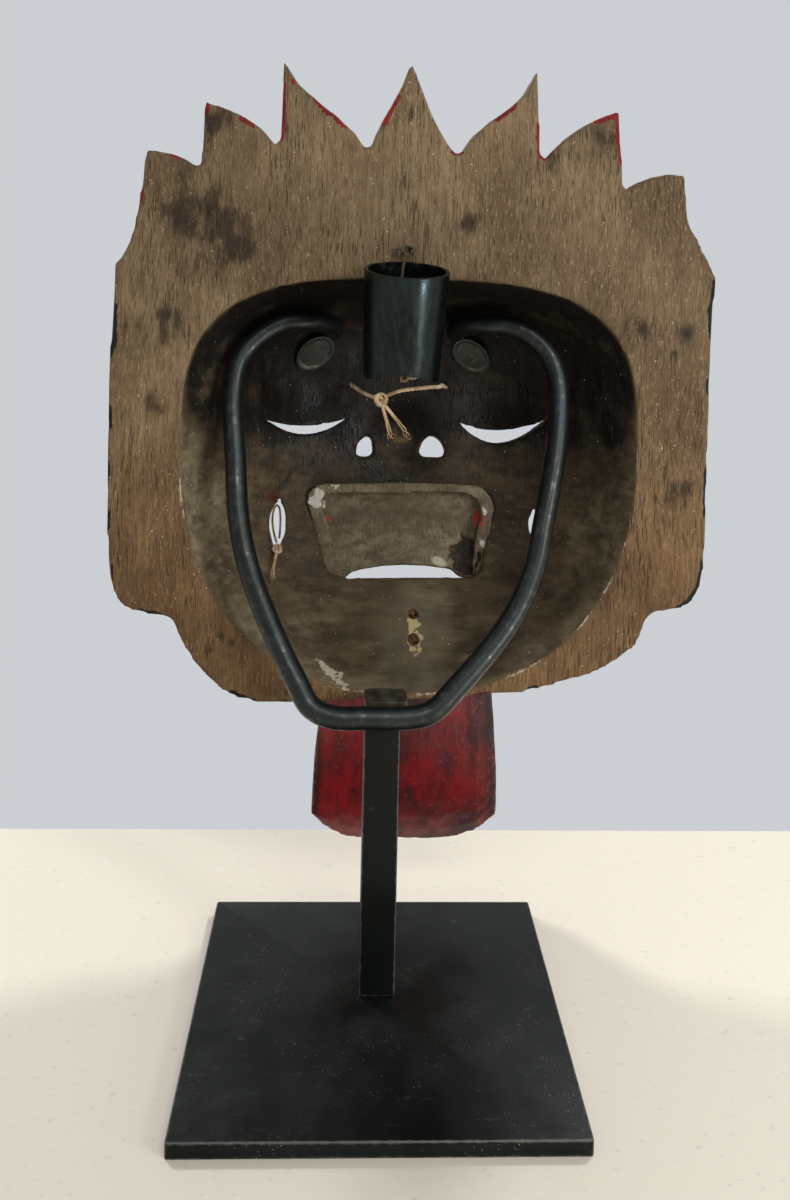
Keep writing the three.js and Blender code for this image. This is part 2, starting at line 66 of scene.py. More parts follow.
# ---- String that ties the socket tube -------------------------------------------------------
# Three-ply hemp twine, pale and a little furry. It comes out of a hole in the brow, passes
# under the tube, is knotted there and goes back through a second hole.
LASHING_LINE = [
    (15.8, -98.4, 253.3), (15.9, -88, 254.2), (15.8, -74, 255.6), (15.8, -60, 256.8),
    (15.6, -46, 258), (14.6, -33, 258.6), (11.2, -22.5, 257.4), (6.8, -16, 256),
    (3.3, -13.4, 255.6), (-0.4, -11.4, 257.5), (-4.6, -10.3, 259.2), (-9, -10.2, 260),
    (-13.6, -12, 260.3), (-18, -16.4, 260.4), (-21.6, -24, 259.8), (-24, -35, 259.2),
    (-25.4, -50, 258.2), (-27.2, -66, 256.6), (-29.4, -82, 254.6), (-31.6, -98.4, 252.7),
]
LASHING_TAILS = [
    [(3.2, -9.4, 255), (1, -10.6, 247.6), (-0.5, -11, 242.6), (-1.2, -11.2, 238.8)],
    [(3.2, -9.4, 255), (-2.4, -9.8, 248.4), (-5.9, -9, 244), (-8.5, -9, 240.2)],
]
TUBE_THREAD = [(-5.2, -15, 262.6), (-7.2, -17, 264.6), (-10.4, -17.4, 264), (-13.8, -18, 265.6)]
TWINE = 1.7 * MM


def line_through(points, spacing):
    """Smooth line through the points, which are in millimetres, in even steps."""
    p = [Vector(point) * MM for point in points]
    p = [2 * p[0] - p[1], *p, 2 * p[-1] - p[-2]]
    fine = []
    for before, start, end, after in zip(p, p[1:], p[2:], p[3:]):
        a, b, c = ((end - start).length ** 0.5 for start, end in
                   ((before, start), (start, end), (end, after)))
        leave = ((start - before) / a - (end - before) / (a + b) + (end - start) / b) * b
        reach = ((end - start) / b - (after - start) / (b + c) + (after - end) / c) * b
        for t in np.linspace(0, 1, 16, endpoint=False):
            fine.append(
                (2 * t**3 - 3 * t**2 + 1) * start + (t**3 - 2 * t**2 + t) * leave
                + (3 * t**2 - 2 * t**3) * end + (t**3 - t**2) * reach
            )
    fine = np.array([*fine, p[-2]])
    run = np.concatenate([[0], np.cumsum(np.linalg.norm(np.diff(fine, axis=0), axis=1))])
    steps = np.linspace(0, run[-1], max(3, round(run[-1] / spacing) + 1))
    return [Vector(q) for q in np.stack([np.interp(steps, run, fine[:, k]) for k in range(3)], 1)]


def strands_mesh(name, strands, sides=8):
    """One mesh of round strands, each a list of points with a radius for each point."""
    data = bpy.data.curves.new(name, "CURVE")
    data.dimensions = "3D"
    data.bevel_depth = 1.0
    data.bevel_resolution = sides // 2 - 2
    data.use_fill_caps = True
    for points, radii in strands:
        spline = data.splines.new("POLY")
        spline.points.add(len(points) - 1)
        for at, point, radius in zip(spline.points, points, radii):
            at.co = (*point, 1)
            at.radius = radius
    drawn = bpy.data.objects.new(name, data)
    bpy.context.scene.collection.objects.link(drawn)
    ready = drawn.evaluated_get(bpy.context.evaluated_depsgraph_get())
    mesh = bpy.data.meshes.new_from_object(ready)
    bpy.data.objects.remove(drawn)
    bpy.data.curves.remove(data)
    shaped = bmesh.new()
    shaped.from_mesh(mesh)
    bmesh.ops.recalc_face_normals(shaped, faces=shaped.faces)
    shaped.to_mesh(mesh)
    shaped.free()
    mesh.shade_smooth()
    return mesh


def plies_along(path, diameter, plies=3, pitch=3.4, fray=0.0):
    """Twisted plies round a path. With fray they open and thin out over the last third."""
    side = (path[1] - path[0]).orthogonal().normalized()
    around = []
    for i, point in enumerate(path):
        ahead = (path[min(i + 1, len(path) - 1)] - path[max(i - 1, 0)]).normalized()
        side = (side - ahead * side.dot(ahead)).normalized()
        around.append((point, side.copy(), ahead.cross(side)))
    step = (path[1] - path[0]).length
    strands = []
    for ply in range(plies):
        points, radii = [], []
        for i, (point, side, up) in enumerate(around):
            loose = fray * max(0.0, i / (len(path) - 1) - 0.55) / 0.45
            angle = 2 * math.pi * (
                ply / plies + i * step / (pitch * diameter) * (1 - 0.6 * loose)
            )
            out = 0.25 * diameter * (1 + loose * (2.2 + 2 * noise.noise((ply * 3.7, i * 0.2, 0))))
            points.append(point + (side * math.cos(angle) + up * math.sin(angle)) * out)
            radii.append(0.27 * diameter * (1 - 0.72 * min(1.0, loose)))
        strands.append((points, radii))
    return strands


def wound(centre, radii, turns, diameter, tilt=0.0):
    """A knot: twine wound over itself in tilted turns round a small core."""
    path = []
    for i in range(turns * 22):
        t = i / (turns * 22)
        angle = 2 * math.pi * turns * t
        turn = Matrix.Rotation(tilt + 2.6 * t, 3, "Y") @ Matrix.Rotation(0.9 - 2.1 * t, 3, "X")
        p = turn @ Vector((math.cos(angle), 0.3 * math.sin(2 * angle), math.sin(angle)))
        size = 0.8 + 0.12 * math.sin(5.1 * t * turns)
        path.append(Vector([(c + size * r * v) * MM for c, r, v in zip(centre, radii, p)]))
    return plies_along(path, diameter)


def feed(socket, value):
    """Links another node's output to the socket, or sets the socket to a plain value."""
    if isinstance(value, bpy.types.NodeSocket):
        socket.id_data.links.new(value, socket)
    else:
        socket.default_value = (*value, 1.0) if socket.type == "RGBA" and len(value) == 3 else value


def speckle(tree, place, scale, detail=3.0, stretch=(1, 1, 1), rough=0.5):
    """Noise from 0 to 1 over the place given, with its patches drawn out by the stretch."""
    sized = tree.nodes.new("ShaderNodeVectorMath")
    sized.operation = "DIVIDE"
    feed(sized.inputs[0], place)
    feed(sized.inputs[1], stretch)
    made = tree.nodes.new("ShaderNodeTexNoise")
    feed(made.inputs["Vector"], sized.outputs[0])
    feed(made.inputs["Scale"], scale)
    feed(made.inputs["Detail"], detail)
    feed(made.inputs["Roughness"], rough)
    return made.outputs["Fac"]


def between(tree, value, low, high, to_low=0.0, to_high=1.0):
    """Carries a value's range from low to high over to another range, and stops at its ends."""
    made = tree.nodes.new("ShaderNodeMapRange")
    made.interpolation_type = "SMOOTHSTEP"
    for socket, given in zip(made.inputs, (value, low, high, to_low, to_high)):
        feed(socket, given)
    return made.outputs["Result"]


def reckon(tree, operation, a, b=0.0):
    made = tree.nodes.new("ShaderNodeMath")
    made.operation = operation
    feed(made.inputs[0], a)
    feed(made.inputs[1], b)
    return made.outputs[0]


def times(tree, a, b):
    return reckon(tree, "MULTIPLY", a, b)


def blend(tree, mask, under, over, way="MIX"):
    """Lays one colour over another where the mask is 1."""
    made = tree.nodes.new("ShaderNodeMix")
    made.data_type = "RGBA"
    made.blend_type = way
    feed(made.inputs[0], mask)
    feed(made.inputs[6], under)
    feed(made.inputs[7], over)
    return made.outputs[2]


def raised(tree, height, distance, strength=1.0):
    made = tree.nodes.new("ShaderNodeBump")
    feed(made.inputs["Height"], height)
    feed(made.inputs["Distance"], distance)
    feed(made.inputs["Strength"], strength)
    return made.outputs["Normal"]


def new_finish(name):
    """A material's tree, its shader's inputs and the object's own coordinates."""
    material = bpy.data.materials.new(name)
    material.use_nodes = True
    tree = material.node_tree
    place = tree.nodes.new("ShaderNodeTexCoord").outputs["Object"]
    return material, tree, tree.nodes["Principled BSDF"].inputs, place


def twine_finish(name, pale, dark):
    material, tree, shader, place = new_finish(name)
    soiled = between(tree, speckle(tree, place, 160, 4), 0.36, 0.66)
    fibres = speckle(tree, place, 2600, 3)
    feed(shader["Base Color"], blend(tree, soiled, pale, dark))
    feed(shader["Roughness"], 0.92)
    feed(shader["Sheen Weight"], 0.25)
    feed(shader["Normal"], raised(tree, fibres, 0.00012))
    return material


def set_out(name, mesh, material):
    """Puts a finished mesh into the scene as a piece with its material."""
    piece = bpy.data.objects.new(name, mesh)
    bpy.context.scene.collection.objects.link(piece)
    mesh.materials.clear()
    mesh.materials.append(material)
    return piece


twine_pale = twine_finish("hemp twine", (0.50, 0.37, 0.21), (0.27, 0.17, 0.08))

knot_strands = wound((3.4, -9.2, 255.2), (2.9, 2.7, 3.1), 4, 1.3 * MM)
knot_strands += wound((3.4, -9.2, 255.2), (1.4, 1.3, 1.6), 2, 1.3 * MM, tilt=1.3)
for tail in LASHING_TAILS:
    knot_strands += plies_along(line_through(tail, 0.4 * MM), 1.5 * MM, fray=0.9)
lashing_knot = set_out("twine_knot", strands_mesh("twine_knot", knot_strands), twine_pale)
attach(lashing_knot, "root")
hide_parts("lashing_knot")

knot_strands = wound((-7, -15.8, 264.4), (2, 2, 2.2), 3, 1.1 * MM, tilt=1.0)
knot_strands += plies_along(line_through(TUBE_THREAD, 0.4 * MM), 1.2 * MM, fray=0.8)
tube_knot = set_out(
    "twine_knot_in_tube", strands_mesh("twine_knot_in_tube", knot_strands), twine_pale
)
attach(tube_knot, "root")
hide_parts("tube_knot")

lashing_path = line_through(LASHING_LINE, 0.6 * MM)
lashing_mesh = strands_mesh("twine_lashing", plies_along(lashing_path, TWINE))
lashing = set_out("twine_lashing", lashing_mesh, twine_pale)
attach(lashing, "root")
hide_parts("tube_lashing")

# ---- String left in the strap hole ----------------------------------------------------------
# What is left of the strap's loop: a doubled strand in the hole, its knot and a frayed tail.
STRAP_LINE = [
    (49.9, -73.6, 179.4), (51.6, -76.4, 184), (52.5, -79, 189.6), (51.9, -81.6, 194),
    (50.7, -84, 195.2), (49.6, -84.6, 193.8), (48.9, -82.4, 190), (48.7, -79.4, 185),
    (48.8, -76, 181),
]
STRAP_TAIL = [(49.4, -70, 177.2), (50, -67, 173), (50.8, -62.6, 168.6), (51, -59.2, 165.6)]
STRAP_STRAND = 1.1 * MM

twine_brown = twine_finish("soiled hemp twine", (0.22, 0.13, 0.06), (0.07, 0.035, 0.018))

knot_strands = wound((49.4, -69.8, 177.2), (2.4, 2.2, 2.4), 4, 1.1 * MM, tilt=0.5)
knot_strands += wound((49.4, -69.8, 177.2), (1.1, 1.1, 1.2), 2, 1.1 * MM, tilt=1.6)
knot_strands += plies_along(line_through(STRAP_TAIL, 0.4 * MM), 1.5 * MM, fray=1.2)
strap_knot = set_out("strap_end_knot", strands_mesh("strap_end_knot", knot_strands), twine_pale)
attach(strap_knot, "root")
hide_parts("strap_knot")

strap_path = line_through(STRAP_LINE, 0.4 * MM)
strap_mesh = strands_mesh("strap_strand", plies_along(strap_path, STRAP_STRAND))
strap = set_out("strap_strand", strap_mesh, twine_brown)
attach(strap, "root")
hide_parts("strap_cord")

# ---- Dark tie on the tube's rim -------------------------------------------------------------
# Short dark thread, knotted over the upper rim of the tube, with two stiff ends.
TOP_TIE = [(-4.6, -17.8, 303), (-5.2, -20.4, 309), (-6.2, -22.6, 315.4), (-7.4, -24.4, 318.2)]
TOP_TIE_TAIL = [(-6, -25.4, 318.6), (-3.4, -25.8, 319.4), (-0.6, -25.6, 318.6)]

twine_dark = twine_finish("dark thread", (0.11, 0.065, 0.03), (0.03, 0.018, 0.01))
knot_strands = wound((-7.4, -25.1, 318.4), (3, 2.4, 2.6), 4, 1.0 * MM)
for tail in (TOP_TIE, TOP_TIE_TAIL):
    knot_strands += plies_along(line_through(tail, 0.4 * MM), 1.1 * MM, fray=0.6)
top_tie = set_out("rim_tie", strands_mesh("rim_tie", knot_strands), twine_dark)
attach(top_tie, "root")
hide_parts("top_tie")

# ---- Foot -----------------------------------------------------------------------------------
# Square plate of 6 mm steel, satin black with a slight green cast. Its edges are rubbed pale
# and there is plaster dust on top.
def group_of(name, inputs, outputs):
    """An effect that several finishes share, with its own named inputs and outputs."""
    group = bpy.data.node_groups.new(name, "ShaderNodeTree")
    for label, kind, value in inputs:
        socket = group.interface.new_socket(label, in_out="INPUT", socket_type=kind)
        socket.default_value = value
    for label in outputs:
        group.interface.new_socket(label, in_out="OUTPUT", socket_type="NodeSocketFloat")
    start = group.nodes.new("NodeGroupInput").outputs
    end = group.nodes.new("NodeGroupOutput").inputs
    return group, start, end


def use_group(tree, group, **given):
    made = tree.nodes.new("ShaderNodeGroup")
    made.node_tree = group
    for label, value in given.items():
        feed(made.inputs[label], value)
    return made.outputs


# Rubbed edges of a square bar or plate: 1 on its edges, fading over Width with ragged borders.
rubbed_edges, given, result = group_of(
    "rubbed edges",
    [("Place", "NodeSocketVector", (0, 0, 0)), ("Centre", "NodeSocketVector", (0, 0, 0)),
     ("Half", "NodeSocketVector", (1, 1, 1)), ("Width", "NodeSocketFloat", 0.001)],
    ["Rubbed"],
)
offset = rubbed_edges.nodes.new("ShaderNodeVectorMath")
offset.operation = "SUBTRACT"
feed(offset.inputs[0], given["Place"])
feed(offset.inputs[1], given["Centre"])
folded = rubbed_edges.nodes.new("ShaderNodeVectorMath")
folded.operation = "ABSOLUTE"
feed(folded.inputs[0], offset.outputs[0])
inset = rubbed_edges.nodes.new("ShaderNodeVectorMath")
inset.operation = "SUBTRACT"
feed(inset.inputs[0], given["Half"])
feed(inset.inputs[1], folded.outputs[0])
split = rubbed_edges.nodes.new("ShaderNodeSeparateXYZ")
feed(split.inputs[0], inset.outputs[0])
low_xy = reckon(rubbed_edges, "MINIMUM", split.outputs[0], split.outputs[1])
high_xy = reckon(rubbed_edges, "MAXIMUM", split.outputs[0], split.outputs[1])
from_edge = reckon(
    rubbed_edges, "MAXIMUM", low_xy, reckon(rubbed_edges, "MINIMUM", high_xy, split.outputs[2])
)
ragged = times(rubbed_edges, speckle(rubbed_edges, given["Place"], 420, 4), 2.1)
reach = times(rubbed_edges, given["Width"], ragged)
feed(result["Rubbed"], between(rubbed_edges, from_edge, reach, 0.0))

PLATE = 150 * MM
PLATE_THICK = 6 * MM


def squared_block(size, centre, edge, corner=0.0):
    """A bar or plate with its upright corners and then all its edges eased."""
    shaped = bmesh.new()
    bmesh.ops.create_cube(shaped, size=1.0)
    bmesh.ops.scale(shaped, vec=size, verts=shaped.verts)
    bmesh.ops.translate(shaped, vec=centre, verts=shaped.verts)
    if corner:
        upright = [e for e in shaped.edges if abs(e.verts[0].co.z - e.verts[1].co.z) > 1e-5]
        bmesh.ops.bevel(shaped, geom=upright, offset=corner, segments=4, profile=0.5,
                        affect="EDGES", material=-1)
    sharp = [e for e in shaped.edges if e.calc_face_angle(0) > math.radians(50)]
    bmesh.ops.bevel(shaped, geom=sharp, offset=edge, segments=3, profile=0.5,
                    affect="EDGES", material=-1)
    bmesh.ops.recalc_face_normals(shaped, faces=shaped.faces)
    mesh = bpy.data.meshes.new("squared block")
    shaped.to_mesh(mesh)
    shaped.free()
    mesh.shade_smooth()
    mesh.set_sharp_from_angle(angle=math.radians(28))
    return mesh


def black_finish(name, centre, half, wear, dusty):
    material, tree, shader, place = new_finish(name)
    broad = between(tree, speckle(tree, place, 16, 3), 0.35, 0.7)
    black = blend(tree, broad, (0.0035, 0.0045, 0.0038), (0.008, 0.010, 0.0085))
    scuffs = between(tree, speckle(tree, place, 300, 5, (2, 1, 1)), 0.64, 0.8)
    black = blend(tree, scuffs, black, (0.03, 0.034, 0.03))
    rubbed = use_group(tree, rubbed_edges, Place=place, Centre=centre, Half=half, Width=wear)[0]
    colour = blend(tree, times(tree, rubbed, 0.62), black, (0.16, 0.16, 0.14))
    dust = between(tree, speckle(tree, place, 1500, 2), 0.735 - dusty, 0.765 - dusty)
    where = between(tree, speckle(tree, place, 30, 2), 0.42, 0.66)
    dust = times(tree, dust, where)
    colour = blend(tree, dust, colour, (0.45, 0.43, 0.38))
    feed(shader["Base Color"], colour)
    feed(shader["Roughness"], between(tree, speckle(tree, place, 60, 4), 0.3, 0.75, 0.26, 0.42))
    feed(shader["Specular IOR Level"], 0.16)
    feed(shader["Normal"], raised(tree, speckle(tree, place, 900, 4), 0.00006, 0.6))
    return material


plate_mesh = squared_block(
    (PLATE, PLATE, PLATE_THICK), (0, 0, PLATE_THICK / 2), 0.5 * MM, 1.2 * MM
)
plate = set_out("steel_foot", plate_mesh, black_finish(
    "black foot", (0, 0, PLATE_THICK / 2), (PLATE / 2, PLATE / 2, PLATE_THICK / 2), 0.9 * MM, 0.03,
))
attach(plate, "root")
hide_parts("base_plate")

# ---- Post -----------------------------------------------------------------------------------
# Upright of 15 mm square steel, painted with the foot, its corners rubbed to thin pale lines.
POST = 15 * MM
post_low, post_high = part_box("post")
post_centre = (post_low + post_high) / 2
post_mesh = squared_block((POST, POST, post_high.z - post_low.z), post_centre, 0.7 * MM)
post = set_out("square_post", post_mesh, black_finish(
    "black post", tuple(post_centre), tuple((post_high - post_low) / 2), 0.8 * MM, -0.03,
))
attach(post, "root")
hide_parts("post")

# ---- Cap plate ------------------------------------------------------------------------------
# Small steel plate between the post and the cradle, left bare and browned by the weld.
cap_low, cap_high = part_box("post_cap")
cap_centre, cap_size = (cap_low + cap_high) / 2, cap_high - cap_low
cap_mesh = squared_block(tuple(cap_size), cap_centre, 0.35 * MM, 3 * MM)
cap_steel, tree, shader, place = new_finish("weld-browned steel")
browned = between(tree, speckle(tree, place, 190, 4), 0.35, 0.65)
feed(shader["Base Color"], blend(tree, browned, (0.10, 0.10, 0.07), (0.045, 0.038, 0.024)))
feed(shader["Metallic"], 0.6)
feed(shader["Roughness"], between(tree, speckle(tree, place, 900, 3), 0.3, 0.7, 0.4, 0.62))
feed(shader["Normal"], raised(tree, speckle(tree, place, 1300, 3), 0.00008))
cap = set_out("cap_plate", cap_mesh, cap_steel)
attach(cap, "root")
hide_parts("post_cap")

# ---- Cradle ---------------------------------------------------------------------------------
# One round bar of 9.5 mm steel, bent by hand, welded to the cap and to a pad at each end. It
# has kept its dark mill scale, bluish where it was heated, under a thin coat of wax.
CRADLE_LINE = [
    (24.6, -81.8, 280.2), (25.2, -74, 283.2), (35, -62.5, 285.9), (47, -57.5, 285.5),
    (60.5, -54, 277), (67, -51, 267.5), (69, -47, 254), (66.5, -37, 226), (63.5, -27, 201),
    (58, -19.5, 181), (45, -10.5, 153), (36, -4, 138), (30, -0.5, 129), (21, 1.9, 125.6),
    (6, 2.05, 125.3), (-10, 2.05, 125.5), (-20, 1.2, 127.5), (-31, -2.5, 137),
    (-54, -12, 162), (-65, -19, 183), (-69.5, -25, 201), (-76, -36, 228), (-79, -45, 250),
    (-78, -50.5, 266), (-72.5, -54, 276.5), (-61, -57, 284.5), (-46, -62, 285.9),
    (-35.6, -73, 283.9), (-34.4, -83.6, 279.8),
]
ROD_RADIUS = 4.75 * MM

# Dark scale on steel: Blotch is where it has gone blue, Rub where it shines, Grit its grain.
mill_scale, given, result = group_of(
    "mill scale", [("Place", "NodeSocketVector", (0, 0, 0)), ("Size", "NodeSocketFloat", 1.0)],
    ["Blotch", "Rub", "Grit"],
)
sizes = [times(mill_scale, given["Size"], scale) for scale in (45.0, 260.0, 1500.0)]
feed(
    result["Blotch"],
    between(mill_scale, speckle(mill_scale, given["Place"], sizes[0], 4), 0.36, 0.66),
)
feed(
    result["Rub"],
    between(mill_scale, speckle(mill_scale, given["Place"], sizes[1], 5), 0.5, 0.72),
)
feed(result["Grit"], speckle(mill_scale, given["Place"], sizes[2], 3))


def scale_finish(name, dark, blue, bright, rough=(0.24, 0.42)):
    material, tree, shader, place = new_finish(name)
    blotch, rub, grit = use_group(tree, mill_scale, Place=place)
    colour = blend(tree, blotch, dark, blue)
    colour = blend(tree, times(tree, rub, 0.5), colour, bright)
    feed(shader["Base Color"], colour)
    feed(shader["Metallic"], 0.85)
    feed(shader["Roughness"], between(tree, rub, 0.0, 1.0, rough[1], rough[0]))
    feed(shader["Coat Weight"], 0.25)
    feed(shader["Coat Roughness"], 0.3)
    feed(shader["Normal"], raised(tree, grit, 0.00008, 0.7))
    return material


rod_steel = scale_finish(
    "cradle steel", (0.019, 0.023, 0.020), (0.025, 0.032, 0.033), (0.09, 0.10, 0.092)
)
rod_path = line_through(CRADLE_LINE, 2.0 * MM)
rod_radii = []
for i, point in enumerate(rod_path):
    from_end = min(i, len(rod_path) - 1 - i) * 2.0 / 6.0
    domed = 1.0 if from_end >= 1 else 0.55 + 0.45 * math.sqrt(1 - (1 - from_end) ** 2)
    rod_radii.append(ROD_RADIUS * domed * (1 + 0.012 * noise.noise(point * 60)))
cradle_mesh = strands_mesh("bent_cradle", [(rod_path, rod_radii)], sides=28)
cradle = set_out("bent_cradle", cradle_mesh, rod_steel)
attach(cradle, "root")
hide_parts("cradle_rod")

# ---- Hook pads ------------------------------------------------------------------------------
# An oval disc on each end of the cradle, slightly dished with a raised rim, set against the
# inside of the brow.
PAD_SIZE = (15 * MM, 23 * MM, 2.4 * MM)
PAD_LEAN = math.radians(31)


def dished_pad(centre, turn):
    shaped = bmesh.new()
    bmesh.ops.create_cone(shaped, cap_ends=True, segments=56, radius1=0.5, radius2=0.5, depth=1.0)
    for way in (1, -1):
        face = max(shaped.faces, key=lambda f: way * f.calc_center_median().z)
        bmesh.ops.inset_individual(shaped, faces=[face], thickness=0.06)
        bmesh.ops.inset_individual(shaped, faces=[face], thickness=0.05)
        bmesh.ops.translate(shaped, vec=(0, 0, -0.24 * way), verts=face.verts)
        bmesh.ops.inset_individual(shaped, faces=[face], thickness=0.3)
        bmesh.ops.translate(shaped, vec=(0, 0, 0.1 * way), verts=face.verts)
    rims = [e for e in shaped.edges if e.calc_face_angle(0) > math.radians(60)]
    bmesh.ops.bevel(shaped, geom=rims, offset=0.02, segments=3, profile=0.5,
                    affect="EDGES", material=-1)
    bmesh.ops.scale(shaped, vec=PAD_SIZE, verts=shaped.verts)
    bmesh.ops.transform(
        shaped, verts=shaped.verts,
        matrix=Matrix.Translation(Vector(centre) * MM) @ Matrix.Rotation(-PAD_LEAN, 4, "X")
        @ Matrix.Rotation(math.radians(turn), 4, "Y") @ Matrix.Rotation(-math.pi / 2, 4, "X"),
    )
    bmesh.ops.recalc_face_normals(shaped, faces=shaped.faces)
    mesh = bpy.data.meshes.new("dished pad")
    shaped.to_mesh(mesh)
    shaped.free()
    mesh.shade_smooth()
    mesh.set_sharp_from_angle(angle=math.radians(40))
    return mesh


pad_steel = scale_finish(
    "pad steel", (0.05, 0.055, 0.045), (0.075, 0.085, 0.075), (0.2, 0.21, 0.19), (0.3, 0.5)
)
left_pad = set_out("left_pad", dished_pad((33.7, -87, 269.7), -38), pad_steel)
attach(left_pad, "root")
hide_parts("left_hook_pad")
right_pad = set_out("right_pad", dished_pad((-43, -90.6, 269.6), 40), pad_steel)
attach(right_pad, "root")
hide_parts("right_hook_pad")

# ---- Socket tube ----------------------------------------------------------------------------
# Short length of blued steel tube that once took a plume, a little wider at the top, with its
# lower end coped to sit on a round bar. Its rim is rubbed bright.
TUBE_TOP = Vector((-6.7, -8.6, 310)) * MM
TUBE_LENGTH = 46 * MM
TUBE_RADII = (18.1 * MM, 16.4 * MM)
TUBE_WALL = 1.7 * MM
COPE_RADIUS = 26 * MM
COPE_RISE = 4.5 * MM

shaped = bmesh.new()
ease = 0.35 * MM
profile = []
for i in range(25):
    down = TUBE_LENGTH * (1 - i / 24)
    profile.append((TUBE_RADII[0] + (TUBE_RADII[1] - TUBE_RADII[0]) * down / TUBE_LENGTH, -down))
inner = [(r - TUBE_WALL, z) for r, z in reversed(profile)]
rim = [(TUBE_RADII[0] - ease, ease * 0.8), (TUBE_RADII[0] - TUBE_WALL + ease, ease * 0.8)]
ring = [shaped.verts.new((r, 0, z)) for r, z in (*profile, *rim, *inner)]
edges = [shaped.edges.new(pair) for pair in zip(ring, (*ring[1:], ring[0]))]
bmesh.ops.spin(shaped, geom=[*ring, *edges], cent=(0, 0, 0), axis=(0, 0, 1), dvec=(0, 0, 0),
               angle=2 * math.pi, steps=112, use_merge=True)
bmesh.ops.remove_doubles(shaped, verts=shaped.verts, dist=1e-6)
for v in shaped.verts:
    reach = COPE_RADIUS**2 - v.co.x**2
    arch = -TUBE_LENGTH - COPE_RADIUS + COPE_RISE + math.sqrt(max(0.0, reach))
    lift = max(0.0, arch + TUBE_LENGTH)
    v.co.z += lift * max(0.0, -v.co.z / TUBE_LENGTH) ** 6
bmesh.ops.transform(
    shaped, verts=shaped.verts,
    matrix=Matrix.Translation(TUBE_TOP) @ Matrix.Rotation(-math.radians(12), 4, "X")
    @ Matrix.Rotation(-math.radians(1.6), 4, "Y"),
)
bmesh.ops.recalc_face_normals(shaped, faces=shaped.faces)
tube_mesh = bpy.data.meshes.new("blued tube")
shaped.to_mesh(tube_mesh)
shaped.free()
tube_mesh.shade_smooth()
tube_mesh.set_sharp_from_angle(angle=math.radians(35))

tube_steel, tree, shader, place = new_finish("blued tube steel")
blotch, rub, grit = use_group(tree, mill_scale, Place=place, Size=0.8)
streaks = between(tree, speckle(tree, place, 500, 4, (1, 1, 14)), 0.4, 0.7)
colour = blend(tree, blotch, (0.010, 0.013, 0.013), (0.017, 0.024, 0.027))
colour = blend(tree, times(tree, streaks, 0.35), colour, (0.035, 0.055, 0.045))
height = tree.nodes.new("ShaderNodeSeparateXYZ")
feed(height.inputs[0], place)
at_rim = between(tree, height.outputs[2], TUBE_TOP.z - 0.3 * MM, TUBE_TOP.z + 0.1 * MM)
colour = blend(tree, times(tree, times(tree, at_rim, rub), 0.6), colour, (0.24, 0.24, 0.22))
feed(shader["Base Color"], colour)
feed(shader["Metallic"], 0.9)
feed(shader["Roughness"], between(tree, rub, 0.0, 1.0, 0.3, 0.2))
feed(shader["Normal"], raised(tree, grit, 0.00005, 0.6))
tube = set_out("blued_socket", tube_mesh, tube_steel)
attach(tube, "root")
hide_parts("socket_tube")

# ---- Mask -----------------------------------------------------------------------------------
# Carved from one thick board: flat crown with seven flames, side panels, and a domed face
# hollowed behind with a gouge. The front is painted over white gesso, the back is bare wood,
# weathered on the board; the hollow is black with smoke, handling and painted shade.
MASK_X = -10.5
BACK_Y = -28.0
BOARD = 13.0
FACE_Z = 232.0
HOLLOW = {
    "half": 100.5, "top": 74.5, "low": 108, "depth": 70, "square": (3.2, 2.3),
    "wall": (6.5, 3, 4.6),
}
FACE = {
    "half": 114, "top": 90, "low": 111, "depth": 84, "square": (2.9, 2.4), "wall": (4.6, 3.1, 6.5)
}
EYE = (48.0, 249.0)
CARVING_GRAIN = 1.65 * MM


def egg_radius(egg, x, z):
    """Where a place lies in an egg outline: 0 in the middle, 1 on the line."""
    up = z >= FACE_Z
    power = np.where(up, *egg["square"])
    h = np.abs(z - FACE_Z) / np.where(up, egg["top"], egg["low"])
    return (np.abs(x / egg["half"]) ** power + h**power) ** (1 / power)


def egg_depth(egg, x, z):
    lean = np.arctan2(z - FACE_Z, np.abs(x)) / (np.pi / 2)
    brow, side, chin = egg["wall"]
    wall = side + np.where(lean > 0, (brow - side) * lean, (side - chin) * lean)
    return egg["depth"] * (1 - np.minimum(1, egg_radius(egg, x, z)) ** wall)


def mound(x, z, at_x, at_z, size):
    return np.exp(-(((x - at_x) / size) ** 2) - ((z - at_z) / size) ** 2)


def hollow_y(x, z):
    inside = np.maximum(0, 1 - egg_radius(HOLLOW, x, z) ** 4)
    pits = 9 * mound(np.abs(x), z, EYE[0], EYE[1] - 4, 19) + 15 * mound(x, z, 0, 226, 17)
    return BACK_Y - egg_depth(HOLLOW, x, z) - inside * pits


def face_y(x, z):
    return BACK_Y - np.maximum(BOARD, egg_depth(FACE, x, z))


def fine_copy(node, grain):
    """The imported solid's shape again as one fine even mesh."""
    shaped = bmesh.new()
    shaped.from_mesh(bpy.data.objects[node].data)
    bmesh.ops.remove_doubles(shaped, verts=shaped.verts, dist=1e-6)
    mesh = bpy.data.meshes.new(node + " blank")
    shaped.to_mesh(mesh)
    shaped.free()
    blank = bpy.data.objects.new(node + " blank", mesh)
    bpy.context.scene.collection.objects.link(blank)
    even = blank.modifiers.new("even", "REMESH")
    even.mode = "VOXEL"
    even.voxel_size = grain
    ready = blank.evaluated_get(bpy.context.evaluated_depsgraph_get())
    fine = bpy.data.meshes.new_from_object(ready)
    bpy.data.objects.remove(blank)
    bpy.data.meshes.remove(mesh)
    fine.shade_smooth()
    return fine


def points_of(mesh):
    """The mesh's points in millimetres."""
    flat = np.empty(len(mesh.vertices) * 3)
    mesh.vertices.foreach_get("co", flat)
    return flat.reshape(-1, 3) / MM


def put_points(mesh, points):
    mesh.vertices.foreach_set("co", (points * MM).ravel())
    mesh.update()


